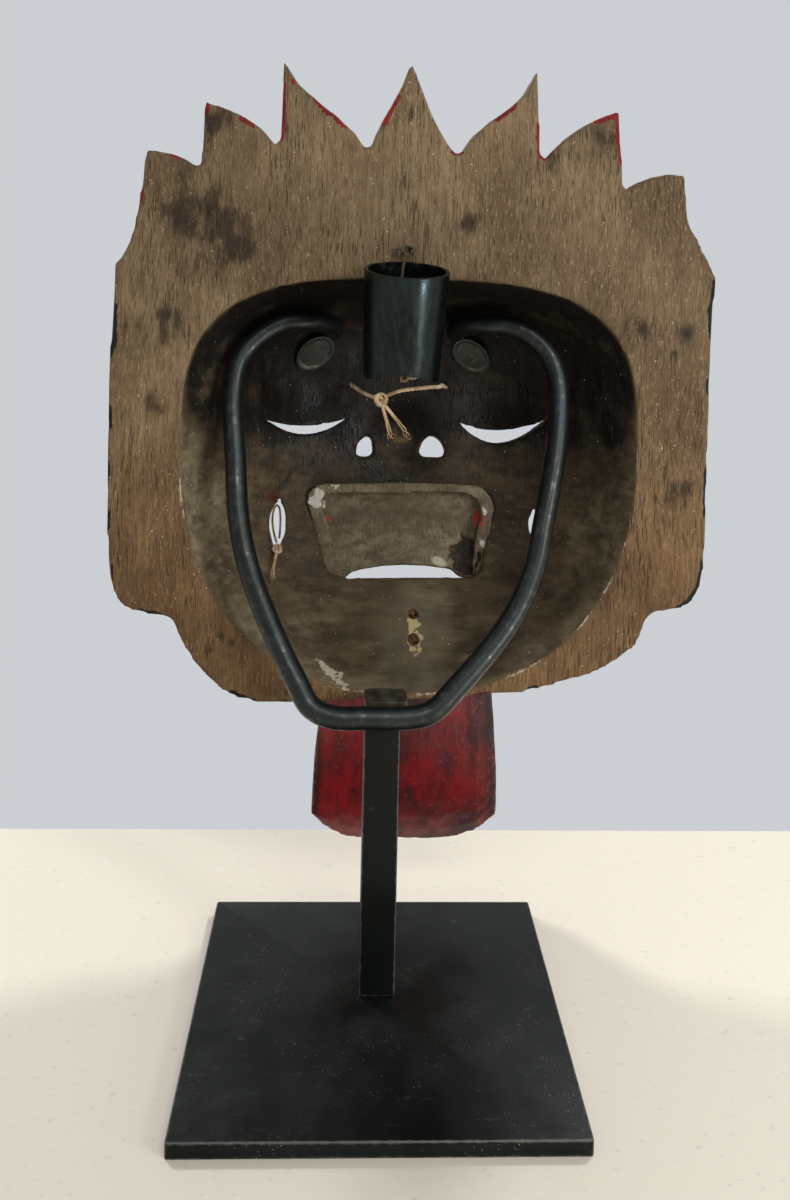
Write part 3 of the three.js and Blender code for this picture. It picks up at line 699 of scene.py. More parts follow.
def normals_of(mesh):
    flat = np.empty(len(mesh.vertices) * 3)
    mesh.vertex_normals.foreach_get("vector", flat)
    return flat.reshape(-1, 3)


def neighbour_mean(mesh, values):
    """For each point, the mean of the values at the points it is joined to."""
    ends = np.empty(len(mesh.edges) * 2, dtype=np.int64)
    mesh.edges.foreach_get("vertices", ends)
    a, b = ends.reshape(-1, 2).T
    count = np.bincount(a, minlength=len(values)) + np.bincount(b, minlength=len(values))
    columns = [
        np.bincount(a, values[:, k][b], len(values)) + np.bincount(b, values[:, k][a], len(values))
        for k in range(values.shape[1])
    ]
    return np.stack(columns, 1) / count[:, None]


def eased(mesh, points, rounds):
    """Takes the small steps out of the points without shrinking the shape."""
    for _ in range(rounds):
        for pull in (0.5, -0.52):
            points = points + pull * (neighbour_mean(mesh, points) - points)
    return points


def patches(points, size, seed=0.0):
    """Smooth noise from -1 to 1. size is a patch's size along x, y and z in millimetres."""
    return np.array([noise.noise(p) for p in (points / size + seed).tolist()])


def settled(points, normals, surface, side, reach):
    """Moves the points within reach of the surface y = surface(x, z) onto it."""
    x, y, z = points.T
    off = y - surface(x, z)
    slope_x = (surface(x - 0.2, z) - surface(x + 0.2, z)) / 0.4
    slope_z = (surface(x, z - 0.2) - surface(x, z + 0.2)) / 0.4
    slope = np.stack([slope_x, np.ones_like(slope_x), slope_z], 1)
    size = np.linalg.norm(slope, axis=1)
    on = (np.abs(off) / size < reach) & (side * (normals * slope).sum(1) / size > 0.55)
    return points - np.where(on, off / size**2, 0)[:, None] * slope


def from_line(x, z, line):
    """Distance to a line of points in x and z."""
    best = np.full_like(x, 1e9)
    for (ax, az), (bx, bz) in zip(line, line[1:]):
        run = max(1e-9, (bx - ax) ** 2 + (bz - az) ** 2)
        t = np.clip(((x - ax) * (bx - ax) + (z - az) * (bz - az)) / run, 0, 1)
        best = np.minimum(best, np.hypot(x - ax - t * (bx - ax), z - az - t * (bz - az)))
    return best


def ramp(values, low, high):
    t = np.clip((values - low) / (high - low), 0, 1)
    return t * t * (3 - 2 * t)


def keep(mesh, name, values):
    """Stores one number, or one colour, for each point of the mesh."""
    if values.ndim == 1:
        mesh.attributes.new(name, "FLOAT", "POINT").data.foreach_set("value", values)
    else:
        flat = np.concatenate([values, np.ones((len(values), 1))], 1).ravel()
        mesh.attributes.new(name, "FLOAT_COLOR", "POINT").data.foreach_set("color", flat)


# Holes cut with a fine blade, drawn in x and z as corners and the pull of the curve between
# them. They drop towards the front, and have their drawn heights at the depth given last.
LEFT_SLIT = ([(29, 237), (68, 236)], [(50, 221.3), (50, 229.7)], 0.13, -92)
RIGHT_SLIT = ([(-27.5, 237), (-70, 238.5)], [(-47, 214.1), (-47, 226.9)], 0.13, -92)
LEFT_STRAP = ([(61.5, 176), (61, 203.5)], [(70, 190), (53, 189)], 0.2, -62)
RIGHT_STRAP = ([(-66, 180), (-65.5, 202)], [(-75.5, 191), (-57, 191)], 0.2, -62)


def blade_cut(corners, pulls, drop, level):
    """A closed cutter for one lens-shaped hole."""
    shaped = bmesh.new()
    (start, end), around = corners, []
    for a, pull, b in ((start, pulls[0], end), (end, pulls[1], start)):
        for t in np.linspace(0, 1, 14, endpoint=False):
            around.append([
                (1 - t) ** 2 * a[k] + 2 * t * (1 - t) * pull[k] + t * t * b[k] for k in (0, 1)
            ])
    face = shaped.faces.new([shaped.verts.new((u, -34, v)) for u, v in around])
    far = bmesh.ops.extrude_face_region(shaped, geom=[face])["geom"]
    bmesh.ops.translate(
        shaped, vec=(0, -96, 0), verts=[v for v in far if isinstance(v, bmesh.types.BMVert)]
    )
    for v in shaped.verts:
        v.co.z += drop * (v.co.y - level)
    bmesh.ops.recalc_face_normals(shaped, faces=shaped.faces)
    bmesh.ops.scale(shaped, vec=(MM, MM, MM), verts=shaped.verts)
    mesh = bpy.data.meshes.new("blade cut")
    shaped.to_mesh(mesh)
    shaped.free()
    return mesh


def cut_through(mesh, cutters):
    """The mesh with the cutters taken out of it."""
    carving = bpy.data.objects.new("carving", mesh)
    bpy.context.scene.collection.objects.link(carving)
    blades = []
    for cutter in cutters:
        blade = bpy.data.objects.new("blade", cutter)
        bpy.context.scene.collection.objects.link(blade)
        cut = carving.modifiers.new("cut", "BOOLEAN")
        cut.object = blade
        cut.operation = "DIFFERENCE"
        cut.solver = "MANIFOLD"
        blades.append(blade)
    ready = carving.evaluated_get(bpy.context.evaluated_depsgraph_get())
    result = bpy.data.meshes.new_from_object(ready)
    for used in (carving, *blades):
        bpy.data.objects.remove(used)
    result.shade_smooth()
    return result


mask_mesh = fine_copy("mask_body", CARVING_GRAIN)
own = points_of(mask_mesh) - (MASK_X, 0, 0)
own = eased(mask_mesh, own, 3)
put_points(mask_mesh, own)
for _ in range(2):
    normals = normals_of(mask_mesh)
    own = settled(own, normals, hollow_y, 1, 2.4)
    own = settled(own, normals, face_y, -1, 1.6)
    put_points(mask_mesh, own)
own = eased(mask_mesh, own, 1)
put_points(mask_mesh, own)
mask_mesh = cut_through(
    mask_mesh, [blade_cut(*hole) for hole in (LEFT_SLIT, RIGHT_SLIT, LEFT_STRAP, RIGHT_STRAP)],
)
own = points_of(mask_mesh)
normals = normals_of(mask_mesh)
x, y, z = own.T
behind = (np.abs(y - hollow_y(x, z)) < 1.6 + 4 * (1 - normals[:, 1])) & (normals[:, 1] > 0.04)
in_hollow = ramp(1 - egg_radius(HOLLOW, x, z), -0.002, 0.012) * behind
on_board = behind * (1 - in_hollow)
front = ~behind & (normals[:, 1] < -0.2)
outer_edge = ~behind & ~front & (egg_radius(FACE, x, z) > 1.0)
side_x = np.abs(x)

# Relief in millimetres: gouge strokes in the hollow, weathering on the board, chipped edges.
bend = neighbour_mean(mask_mesh, own) - own
ridge = -(bend * normals).sum(1)
for _ in range(2):
    ridge = neighbour_mean(mask_mesh, ridge[:, None])[:, 0]
strokes = np.abs(patches(own, (9, 30, 22), 3.0)) + 0.5 * np.abs(patches(own, (5, 20, 12), 7.0))
relief = in_hollow * (0.25 - strokes)
relief += on_board * (
    0.3 * patches(own, (26, 40, 70), 1.0) + 0.16 * patches(own, (3, 40, 26), 2.0) - 0.1
)
chips = ramp(patches(own, (9, 9, 9), 11.0), 0.12, 0.5) * ramp(ridge, 0.03, 0.16)
relief -= chips * np.where(outer_edge | front, 1.0, 0.8)
relief += outer_edge * 0.25 * patches(own, (7, 5, 7), 5.0)

BROW = [(8, 262), (22, 277), (46, 287), (72, 281), (90, 262), (99, 270)]
SMILE = [(24, 224), (40, 210), (60, 199), (76, 178), (80, 160)]
UPPER_LIP = [(0, 211), (12, 214), (34, 211), (58, 198), (66, 178)]
LOWER_LIP = [(0, 148.5), (30, 151.5), (54, 161), (63, 181)]
to_brow = from_line(side_x, z, BROW)
to_eye = np.hypot(side_x - EYE[0], z - EYE[1])
to_lip = np.minimum(from_line(side_x, z, UPPER_LIP), from_line(side_x, z, LOWER_LIP))
carved = np.zeros_like(x)
carved -= (to_brow < 7.5) * 0.9 * ramp(np.cos(side_x * 1.5 + (z - 270) * 0.35), 0.2, 1)
carved -= 0.9 * np.exp(-((to_eye - 8.5) / 0.9) ** 2)
carved -= 1.4 * np.exp(-(from_line(side_x, z, SMILE) / 1.7) ** 2)
carved -= 1.2 * np.exp(-((to_lip - 6.2) / 1.1) ** 2) * (egg_radius(FACE, x, z) < 0.9)
for furrow in (296, 303, 310):
    wave = furrow - 7 * (side_x / 60) ** 2 + 1.5 * np.cos(side_x / 6)
    carved -= 1.1 * np.exp(-((z - wave) / 1.3) ** 2) * (side_x < 62)
for ring in (0.945, 1.0):
    carved -= 0.9 * np.exp(-((egg_radius(FACE, x, z) - ring) / 0.011) ** 2) * (z < 312)
relief += front * carved
own = own + normals * relief[:, None]

# Paint zones of the front, each as its colour. Their borders wander a little.
wander = 1.2 * patches(own, (8, 8, 8), 21.0)
crown = ramp(z + wander - 318 + 10 * ramp(side_x, 90, 130), -1, 1)
face = ramp(1.0 - egg_radius(FACE, x, z) + 0.01 * wander, 0.0, 0.02)
INK, RED, GOLD, BONE, DARK_RED = (
    np.array(colour) for colour in (
        (0.012, 0.010, 0.009), (0.24, 0.016, 0.012), (0.30, 0.15, 0.03),
        (0.52, 0.44, 0.31), (0.11, 0.008, 0.008))
)


def laid(under, colour, where):
    return under + np.clip(where, 0, 1)[:, None] * (colour - under)


tint = np.tile(INK, (len(x), 1))
tint = laid(tint, RED, np.maximum(crown, face))
tint = laid(tint, GOLD, ramp(7.2 - to_brow + wander * 0.4, -0.6, 0.6) * face)
tint = laid(tint, DARK_RED, ramp(6 - to_lip, -0.6, 0.6) * face)
ears = ramp(side_x, 108, 110) * ramp(z, 178, 184) * ramp(272 - z, 0, 6) * ramp(-y, 43.5, 45)
tint = laid(tint, RED, ears)
proud = ramp(face_y(x, z) - y, 1.0, 2.5)
tint = laid(tint, BONE, ramp(18 - to_eye, -0.5, 0.5) * proud * face)
tint = laid(tint, INK, ramp(7.6 - to_eye, -0.5, 0.5) * face)
tint = laid(tint, INK, ramp(from_line(side_x, z, SMILE), 2.0, 0.4) * 0.7 * face)
keep(mask_mesh, "tint", tint)
painted = np.where(front, 1.0, 0.0) + np.where(outer_edge, 0.92, 0.0)
for _ in range(2):
    painted = neighbour_mean(mask_mesh, painted[:, None])[:, 0]
overrun = on_board * ramp(ridge, 0.02, 0.09) * ramp(patches(own, (13, 13, 17), 51.0), -0.05, 0.2)
overrun *= ramp(egg_radius(HOLLOW, x, z), 1.018, 1.03)
keep(mask_mesh, "overrun", overrun)
keep(mask_mesh, "painted", np.clip(painted, 0, 1))
keep(mask_mesh, "wear", np.clip(ramp(ridge, 0.015, 0.14), 0, 1))

# Smoke and handling, with painted shade: black under the brow and in the eye and nose pits,
# darker deeper in, brown at the sides, thinning out over the chin.
smoke_and_shade = 0.56 + 0.44 * ramp(z, 206, 250) - 0.12 * ramp(z, 186, 140)
smoke_and_shade -= 0.2 * ramp(z, 262, 200) * ramp(side_x, 52, 96) + 0.18 * ramp(x, 50, 95) * ramp(z, 290, 230)
smoke_and_shade += 0.13 * patches(own, (26, 30, 22), 31.0) + 0.12 * patches(own, (12, 12, 6), 33.0)
# Painted shade: extra darkness in the eye pits and the nose pit.
smoke_and_shade += 0.22 * mound(side_x, z, EYE[0], EYE[1] - 6, 26) + 0.14 * mound(x, z, 0, 205, 34)
# Painted shade: the mark grows with the hollow's depth and thins out towards its rim.
soft_rim = 3 + (13 + 14 * ramp(x, -40, 80)) * ramp(270 - z, 0, 60)
fading = ramp(egg_depth(HOLLOW, x, z) / soft_rim, 0, 1)
keep(mask_mesh, "smoke_and_shade", np.clip(smoke_and_shade, 0, 1) * in_hollow * (0.42 + 0.58 * fading))
keep(mask_mesh, "inside", in_hollow)
through = ~behind & ~front & (egg_radius(FACE, x, z) < 0.98)
stain = 1.4 * mound(x, z, 62.5, 200.5, 2.6) * (1 + patches(own, (3, 3, 4), 41.0))
keep(mask_mesh, "stain", np.clip(stain * (in_hollow + through), 0, 1))
between_pegs = from_line(x, z, [(-5.5, 143), (-6, 135.5)])
fresh = ramp(4.2 + 2.2 * patches(own, (3, 3, 5), 43.0) - between_pegs, -0.5, 2.5)
keep(mask_mesh, "fresh", np.clip(fresh, 0, 1) * in_hollow)
keep(
    mask_mesh, "scraped",
    in_hollow * ramp(17 + 6 * patches(own, (9, 9, 9), 44.0) - between_pegs * 0.8, 0, 12),
)
# Pale line along the hollow's rim: a worn edge, and partly a painted highlight on it.
rim_line = np.exp(-((egg_radius(HOLLOW, x, z) - 1.0) / 0.006) ** 2) * behind
rim_line *= ramp(patches(own, (14, 14, 22), 47.0), -0.05, 0.3) * ramp(290 - z, 0, 20)
cheek_line = np.exp(-(from_line(x, z, [(72, 231), (64, 222), (52, 214), (40, 209)]) / 0.8) ** 2)
gesso_run = ramp(
    1.6 + 2.5 * patches(own, (3, 3, 3), 61.0) - from_line(x, z, [(27, 127), (38, 134)]), 0, 1.2
)
keep(mask_mesh, "pale", np.clip(
    rim_line * 0.75 + in_hollow * cheek_line * ramp(patches(own, (5, 5, 5), 62.0), -0.3, 0.3) * 0.35
    + behind * gesso_run, 0, 1,
))
crack = np.exp(-(from_line(x, z, [(61, 203), (57, 207), (54, 212)]) / 0.9) ** 2)
crack += np.exp(-(from_line(x, z, [(73, 201), (68, 202.5)]) / 0.7) ** 2)
for knot_x, knot_z, size in (
    (-121, 285, 4.0), (81, 149, 1.6), (86, 143, 1.3), (76, 146, 1.2), (-116, 276, 1.2)
):
    crack += mound(x, z, knot_x, knot_z, size)
keep(mask_mesh, "dark", np.clip(crack, 0, 1) * behind)
grime = np.zeros_like(x)
for dirty_x, dirty_z, size in (
    (96, 335, 19), (80, 320, 15), (108, 286, 13), (-25, 331, 6), (-101, 284, 9), (-61, 361, 9),
    (-84, 372, 8), (56, 392, 6), (5, 351, 9), (88, 372, 9), (112, 250, 8), (-122, 214, 9),
):
    grime += mound(x, z, dirty_x, dirty_z, size)
grime *= 0.75 + 0.9 * patches(own, (7, 7, 12), 71.0)
keep(mask_mesh, "grime", np.clip(grime, 0, 1) * behind)
put_points(mask_mesh, own + (MASK_X, 0, 0))

# Old wood: Fibre is its long grain, Pores short dark dashes, Patch broad weathering, Scrape
# small pale marks of the plane.
old_wood, given, result = group_of(
    "old wood", [("Place", "NodeSocketVector", (0, 0, 0)), ("Size", "NodeSocketFloat", 1.0)],
    ["Fibre", "Pores", "Patch", "Scrape"],
)
sizes = [times(old_wood, given["Size"], scale) for scale in (620.0, 2000.0, 24.0, 1300.0)]
fibre = speckle(old_wood, given["Place"], sizes[0], 5, (1, 1, 16), 0.6)
feed(result["Fibre"], between(old_wood, fibre, 0.3, 0.7))
pores = speckle(old_wood, given["Place"], sizes[1], 3, (1, 1, 15), 0.6)
feed(result["Pores"], between(old_wood, pores, 0.54, 0.66))
patch = speckle(old_wood, given["Place"], sizes[2], 6, (1, 1, 1.6), 0.62)
feed(result["Patch"], between(old_wood, patch, 0.34, 0.66))
scrape = speckle(old_wood, given["Place"], sizes[3], 5, (1, 1, 3.2), 0.66)
feed(result["Scrape"], between(old_wood, scrape, 0.52, 0.7))


def kept(tree, name, output="Fac"):
    made = tree.nodes.new("ShaderNodeAttribute")
    made.attribute_name = name
    return made.outputs[output]


mask_wood, tree, shader, place = new_finish("smoked and painted wood")
fibre, pores, patch, scrape = use_group(tree, old_wood, Place=place)
inside = kept(tree, "inside")
outside = reckon(tree, "SUBTRACT", 1.0, inside)
wood = blend(tree, patch, (0.105, 0.066, 0.032), (0.235, 0.165, 0.088))
crowded = between(tree, speckle(tree, place, 42, 4, (1, 1, 2.4), 0.6), 0.4, 0.62, 0.15, 0.9)
wood = blend(tree, times(tree, fibre, 0.6), wood, (0.115, 0.068, 0.031))
wood = blend(tree, times(tree, scrape, times(tree, outside, 0.5)), wood, (0.38, 0.29, 0.175))
wood = blend(tree, times(tree, pores, times(tree, outside, crowded)), wood, (0.028, 0.016, 0.008))
height = tree.nodes.new("ShaderNodeSeparateXYZ")
feed(height.inputs[0], place)
warm = between(tree, height.outputs[2], 0.30, 0.16, 0.0, 0.75)
wood = blend(tree, warm, wood, (0.92, 0.72, 0.5), "MULTIPLY")
grimy = between(tree, speckle(tree, place, 11, 5, (1, 1, 1.5), 0.6), 0.5, 0.68)
wood = blend(
    tree, times(tree, grimy, 0.7), wood, blend(tree, 1.0, wood, (0.42, 0.38, 0.34), "MULTIPLY")
)
smudged = reckon(
    tree, "ADD", kept(tree, "grime"),
    times(
        tree, 2.4, reckon(tree, "SUBTRACT", speckle(tree, place, 240, 7, (1, 1, 2.4), 0.72), 0.5)
    ),
)
wood = blend(
    tree, between(tree, smudged, 0.25, 1.0), wood,
    blend(tree, 1.0, wood, (0.26, 0.23, 0.20), "MULTIPLY"),
)
rubbed_wood = blend(
    tree, between(tree, speckle(tree, place, 55, 6, (2.2, 1, 1), 0.65), 0.34, 0.66),
    (0.095, 0.072, 0.038), (0.215, 0.17, 0.10),
)
strokes = between(tree, speckle(tree, place, 330, 5, (7, 2, 1), 0.62), 0.42, 0.7)
rubbed_wood = blend(tree, times(tree, strokes, 0.55), rubbed_wood, (0.32, 0.265, 0.17))
dark_strokes = between(tree, speckle(tree, place, 210, 6, (6, 2, 1), 0.66), 0.5, 0.72)
rubbed_wood = blend(tree, times(tree, dark_strokes, 0.7), rubbed_wood, (0.045, 0.034, 0.02))
wood = blend(tree, inside, wood, rubbed_wood)
blotch = between(tree, speckle(tree, place, 75, 6, (1.8, 1, 1), 0.65), 0.3, 0.7, -0.24, 0.24)
smoke_and_shade = reckon(tree, "ADD", kept(tree, "smoke_and_shade"), times(tree, blotch, kept(tree, "smoke_and_shade")))
# Brown and then near black, from the smoke and the painted shade of the hollow.
browned = blend(tree, between(tree, smoke_and_shade, 0.0, 0.5), (1, 1, 1), (0.36, 0.31, 0.24))
soot_and_shade = blend(tree, between(tree, smoke_and_shade, 0.46, 0.98), browned, (0.027, 0.018, 0.011))
wood = blend(tree, 1.0, wood, soot_and_shade, "MULTIPLY")
wood = blend(tree, times(tree, kept(tree, "scraped"), 0.5), wood, (0.17, 0.145, 0.09))
wood = blend(
    tree,
    between(tree, times(tree, kept(tree, "fresh"), speckle(tree, place, 420, 4)), 0.3, 0.45),
    wood, (0.50, 0.40, 0.19),
)
# Pale marks: a gesso run, a cheek line and the rim line, which is partly a painted highlight.
wood = blend(
    tree,
    between(tree, times(tree, kept(tree, "pale"), speckle(tree, place, 500, 4)), 0.22, 0.42),
    wood, (0.46, 0.40, 0.30),
)
wood = blend(tree, times(tree, kept(tree, "stain"), 0.9), wood, (0.075, 0.005, 0.006))
wood = blend(tree, times(tree, kept(tree, "dark"), 0.9), wood, (0.006, 0.004, 0.003))
specks = between(tree, speckle(tree, place, 800, 1), 0.775, 0.79)
wood = blend(tree, specks, wood, (0.5, 0.46, 0.38))

flaking = speckle(tree, place, 230, 6, (1, 1, 1), 0.65)
worn = reckon(tree, "ADD", flaking, times(tree, kept(tree, "wear"), 0.17))
worn = reckon(tree, "SUBTRACT", worn, times(tree, kept(tree, "painted"), 0.16))
gesso = times(
    tree, between(tree, worn, 0.58, 0.55), between(tree, kept(tree, "painted"), 0.42, 0.5)
)
paint = times(
    tree, between(tree, worn, 0.54, 0.51), between(tree, kept(tree, "painted"), 0.5, 0.58)
)
aged = between(tree, speckle(tree, place, 70, 6, (1, 1, 1), 0.65), 0.3, 0.7)
colour = blend(
    tree, aged, kept(tree, "tint", "Color"),
    blend(tree, 1.0, kept(tree, "tint", "Color"), (0.42, 0.38, 0.36), "MULTIPLY"),
)
final = blend(tree, gesso, wood, (0.55, 0.49, 0.38))
final = blend(tree, paint, final, colour)
ragged = reckon(
    tree, "ADD", kept(tree, "overrun"),
    reckon(tree, "SUBTRACT", speckle(tree, place, 300, 5), 0.5),
)
final = blend(tree, between(tree, ragged, 0.64, 0.72), final, colour)
feed(shader["Base Color"], final)
gloss = between(tree, aged, 0.0, 1.0, 0.4, 0.6)
bare_rough = between(tree, smoke_and_shade, 0.4, 1.0, 0.8, 0.48)
rough = tree.nodes.new("ShaderNodeMix")
feed(rough.inputs[0], paint)
feed(rough.inputs[2], bare_rough)
feed(rough.inputs[3], gloss)
feed(shader["Roughness"], rough.outputs[0])
feed(shader["Specular IOR Level"], 0.35)
relief = reckon(tree, "SUBTRACT", times(tree, fibre, 0.5), pores)
relief = reckon(tree, "ADD", relief, times(tree, paint, 1.1))
feed(shader["Normal"], raised(tree, relief, 0.00025, 0.8))

mask = set_out("carved_mask", mask_mesh, mask_wood)
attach(mask, "root")
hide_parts("mask_body")

# ---- Mouth block ----------------------------------------------------------------------------
# Paler, harder wood let into the mouth from behind and bedded in white gesso, scooped out with
# a round gouge. Its front is the row of upper teeth.
block_mesh = fine_copy("mouth_block", 0.8 * MM)
own = eased(block_mesh, points_of(block_mesh) - (MASK_X, 0, 0), 2)
CORNER_DROP = 2.7  # carries the lower corners down to the edge of the mouth
own[:, 2] -= CORNER_DROP * ramp(np.abs(own[:, 0] + 0.5), 24, 30) * ramp(177 - own[:, 2], 0, 8)
put_points(block_mesh, own)
normals = normals_of(block_mesh)
x, y, z = own.T
facing = ramp(normals[:, 1], 0.2, 0.8)
at_edge = np.maximum(ramp(np.abs(x + 0.5), 36, 42), 0.5 * ramp(z, 199, 204) * ramp(x, 0, 34))
crust = facing * at_edge * ramp(patches(own, (5, 5, 5), 3.0), -0.15, 0.35)
sides = 1 - np.clip(np.abs(normals[:, 1]), 0, 1)
swelling = 0.5 + 0.7 * ramp(np.abs(x), 30, 36) * ramp(190 - z, 0, 8)
relief = (
    swelling * ramp(sides, 0.5, 0.9) * ramp(z, 162, 166)
    + facing * (0.16 * patches(own, (12, 12, 5), 1.0) - 0.12)
)
relief += crust * 0.7 * np.abs(patches(own, (2.2, 2.2, 2.2), 9.0))
missing = ramp(
    7.8 - np.hypot(x + 31.7, (z - 169.5) * 0.85) + 3.5 * patches(own, (3, 3, 3), 12.0), -1, 2
)
relief -= 1.7 * missing * facing
keep(block_mesh, "crust", np.clip(crust, 0, 1))
keep(block_mesh, "missing", missing * facing)
keep(
    block_mesh, "chip",
    facing * ramp(2.6 - np.hypot((x + 19) * 0.6, z - 166.5 - 0.3 * (x + 19)), 0, 0.8),
)
teeth = ramp(-y, 97.0, 98.5) * ramp(192 - z, 0, 3)
keep(block_mesh, "teeth", teeth)
keep(block_mesh, "front", ramp(-normals[:, 1], 0.1, 0.5))
darker = np.exp(-((z - 190 + 0.004 * x**2) / 4.5) ** 2) * facing
keep(block_mesh, "shaded", darker)
red_drip = facing * np.maximum(
    0.8 * mound(x, z, 37, 187, 3), mound(x, z * 0.6 + 75.2, -38, 188, 3.4)
)
keep(block_mesh, "drip", np.clip(red_drip * (1 + 0.8 * patches(own, (2, 2, 3), 5.0)), 0, 1))
put_points(block_mesh, own + normals * relief[:, None] + (MASK_X, 0, 0))

block_wood, tree, shader, place = new_finish("mouth block wood")
fibre, pores, patch, scrape = use_group(tree, old_wood, Place=place, Size=1.4)
mottle = between(tree, speckle(tree, place, 190, 7, (1.6, 1, 1), 0.7), 0.38, 0.62)
wood = blend(tree, mottle, (0.07, 0.054, 0.03), (0.205, 0.165, 0.10))
wood = blend(tree, times(tree, patch, 0.5), wood, (0.15, 0.115, 0.062))
wood = blend(tree, times(tree, fibre, 0.3), wood, (0.12, 0.09, 0.045))
wood = blend(tree, times(tree, pores, 0.6), wood, (0.04, 0.025, 0.012))
wood = blend(tree, times(tree, kept(tree, "shaded"), 0.6), wood, (0.07, 0.052, 0.028))
grained = reckon(tree, "SUBTRACT", speckle(tree, place, 420, 6, (1, 1, 1), 0.7), 0.5)
lost = reckon(tree, "ADD", kept(tree, "missing"), times(tree, grained, 1.6))
# Torn wood where the chip is lost, painted near black: partly the wood, partly painted shade in the
# hole.
torn_and_shaded = blend(
    tree, between(tree, grained, -0.08, 0.14), (0.010, 0.007, 0.004), (0.06, 0.036, 0.018)
)
wood = blend(tree, between(tree, lost, 0.4, 0.62), wood, torn_and_shaded)
crusted = reckon(tree, "ADD", kept(tree, "crust"), times(tree, grained, 1.8))
wood = blend(tree, between(tree, crusted, 0.32, 0.5), wood, (0.50, 0.47, 0.41))
dripped = reckon(tree, "ADD", kept(tree, "drip"), times(tree, grained, 2.4))
wood = blend(
    tree,
    times(tree, between(tree, dripped, 0.5, 0.75), between(tree, kept(tree, "drip"), 0.1, 0.3)),
    wood, (0.36, 0.035, 0.014),
)
wood = blend(tree, kept(tree, "chip"), wood, (0.40, 0.36, 0.26))
gum = blend(tree, kept(tree, "teeth"), (0.16, 0.012, 0.012), (0.46, 0.37, 0.24))
stained = between(tree, speckle(tree, place, 140, 5), 0.35, 0.7)
gum = blend(
    tree, times(tree, stained, 0.6), gum, blend(tree, 1.0, gum, (0.35, 0.28, 0.2), "MULTIPLY")
)
feed(shader["Base Color"], blend(tree, kept(tree, "front"), wood, gum))
feed(shader["Roughness"], between(tree, kept(tree, "front"), 0.0, 1.0, 0.78, 0.45))
feed(shader["Normal"], raised(tree, reckon(tree, "SUBTRACT", fibre, pores), 0.0002, 0.7))
block = set_out("mouth_inset", block_mesh, block_wood)
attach(block, "root")
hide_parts("mouth_block")

# ---- Tongue ---------------------------------------------------------------------------------
# Separate board, bent over the lower lip and pegged to the chin. Painted deep crimson on both
# sides and stained dark, worn to the wood along its edges.
tongue_mesh = fine_copy("tongue", 1.0 * MM)
own = eased(tongue_mesh, points_of(tongue_mesh) - (MASK_X, 0, 0), 4)
put_points(tongue_mesh, own)
normals = normals_of(tongue_mesh)
x, y, z = own.T
across = np.abs(x + 3.5) / np.interp(z, (29, 90, 150), (45.5, 44, 35))
hung = ramp(118 - z, 0, 6)
relief = hung * (
    0.5 * patches(own, (20, 30, 40), 1.0) + 0.18 * patches(own, (4, 8, 14), 2.0) - 0.2
)
facing_out = ramp(-normals[:, 1], 0.2, 0.8)
relief -= facing_out * 1.6 * np.exp(-((x + 3.5) / 3.2) ** 2) * hung
relief -= facing_out * 0.5 * ramp(np.cos(across * 16 + 0.04 * z), 0.6, 1) * hung
bend = neighbour_mean(tongue_mesh, own) - own
ridge = neighbour_mean(tongue_mesh, -(bend * normals).sum(1)[:, None])[:, 0]
relief -= 0.8 * ramp(ridge, 0.02, 0.1) * ramp(patches(own, (7, 7, 7), 6.0), 0.1, 0.5)
keep(tongue_mesh, "wear", ramp(ridge, 0.02, 0.12))
keep(tongue_mesh, "rim", ramp(np.maximum(across, 1 - (z - 28) / 22), 0.86, 0.98) * hung)
put_points(tongue_mesh, own + normals * relief[:, None] + (MASK_X, 0, 0))

tongue_paint, tree, shader, place = new_finish("crimson tongue")
mottle = between(tree, speckle(tree, place, 34, 7, (1, 1, 1.7), 0.68), 0.36, 0.62)
streak = between(tree, speckle(tree, place, 260, 5, (1, 1, 3), 0.6), 0.45, 0.7)
red = blend(tree, mottle, (0.032, 0.003, 0.004), (0.235, 0.009, 0.013))
red = blend(tree, times(tree, streak, 0.55), red, (0.05, 0.004, 0.005))
red = blend(tree, times(tree, kept(tree, "rim"), 0.75), red, (0.018, 0.005, 0.005))
flecks = between(tree, speckle(tree, place, 520, 4), 0.64, 0.7)
red = blend(tree, times(tree, flecks, 0.7), red, (0.36, 0.03, 0.03))
bare = between(
    tree,
    reckon(tree, "ADD", speckle(tree, place, 300, 5), times(tree, kept(tree, "wear"), 0.16)), 0.7,
    0.74,
)
red = blend(tree, bare, red, (0.14, 0.08, 0.045))
feed(shader["Base Color"], red)
feed(shader["Roughness"], between(tree, mottle, 0.0, 1.0, 0.5, 0.36))
feed(shader["Normal"], raised(tree, reckon(tree, "ADD", mottle, streak), 0.0002, 0.6))
tongue = set_out("carved_tongue", tongue_mesh, tongue_paint)
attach(tongue, "root")
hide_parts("tongue")

# ---- Pegs -----------------------------------------------------------------------------------
# What is left of two wooden pegs that hold the tongue, broken off and splintered behind.
peg_wood, tree, shader, place = new_finish("splintered peg wood")
fibre, pores, patch, scrape = use_group(tree, old_wood, Place=place, Size=3.0)
wood = blend(tree, patch, (0.13, 0.035, 0.018), (0.20, 0.11, 0.05))
wood = blend(tree, pores, wood, (0.03, 0.012, 0.008))
feed(shader["Base Color"], wood)
feed(shader["Roughness"], 0.88)
feed(shader["Normal"], raised(tree, fibre, 0.0002))
for name in ("upper_peg", "lower_peg"):
    peg_mesh = fine_copy(name, 0.4 * MM)
    own = points_of(peg_mesh)
    x, y, z = own.T
    broken = ramp(y, y.max() - 2.0, y.max())
    own[:, 1] -= broken * (1.6 + 2.2 * patches(own, (1.4, 40, 1.4), 3.0))
    put_points(peg_mesh, own)
    peg = set_out("broken_" + name, peg_mesh, peg_wood)
    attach(peg, "root")
    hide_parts(name)

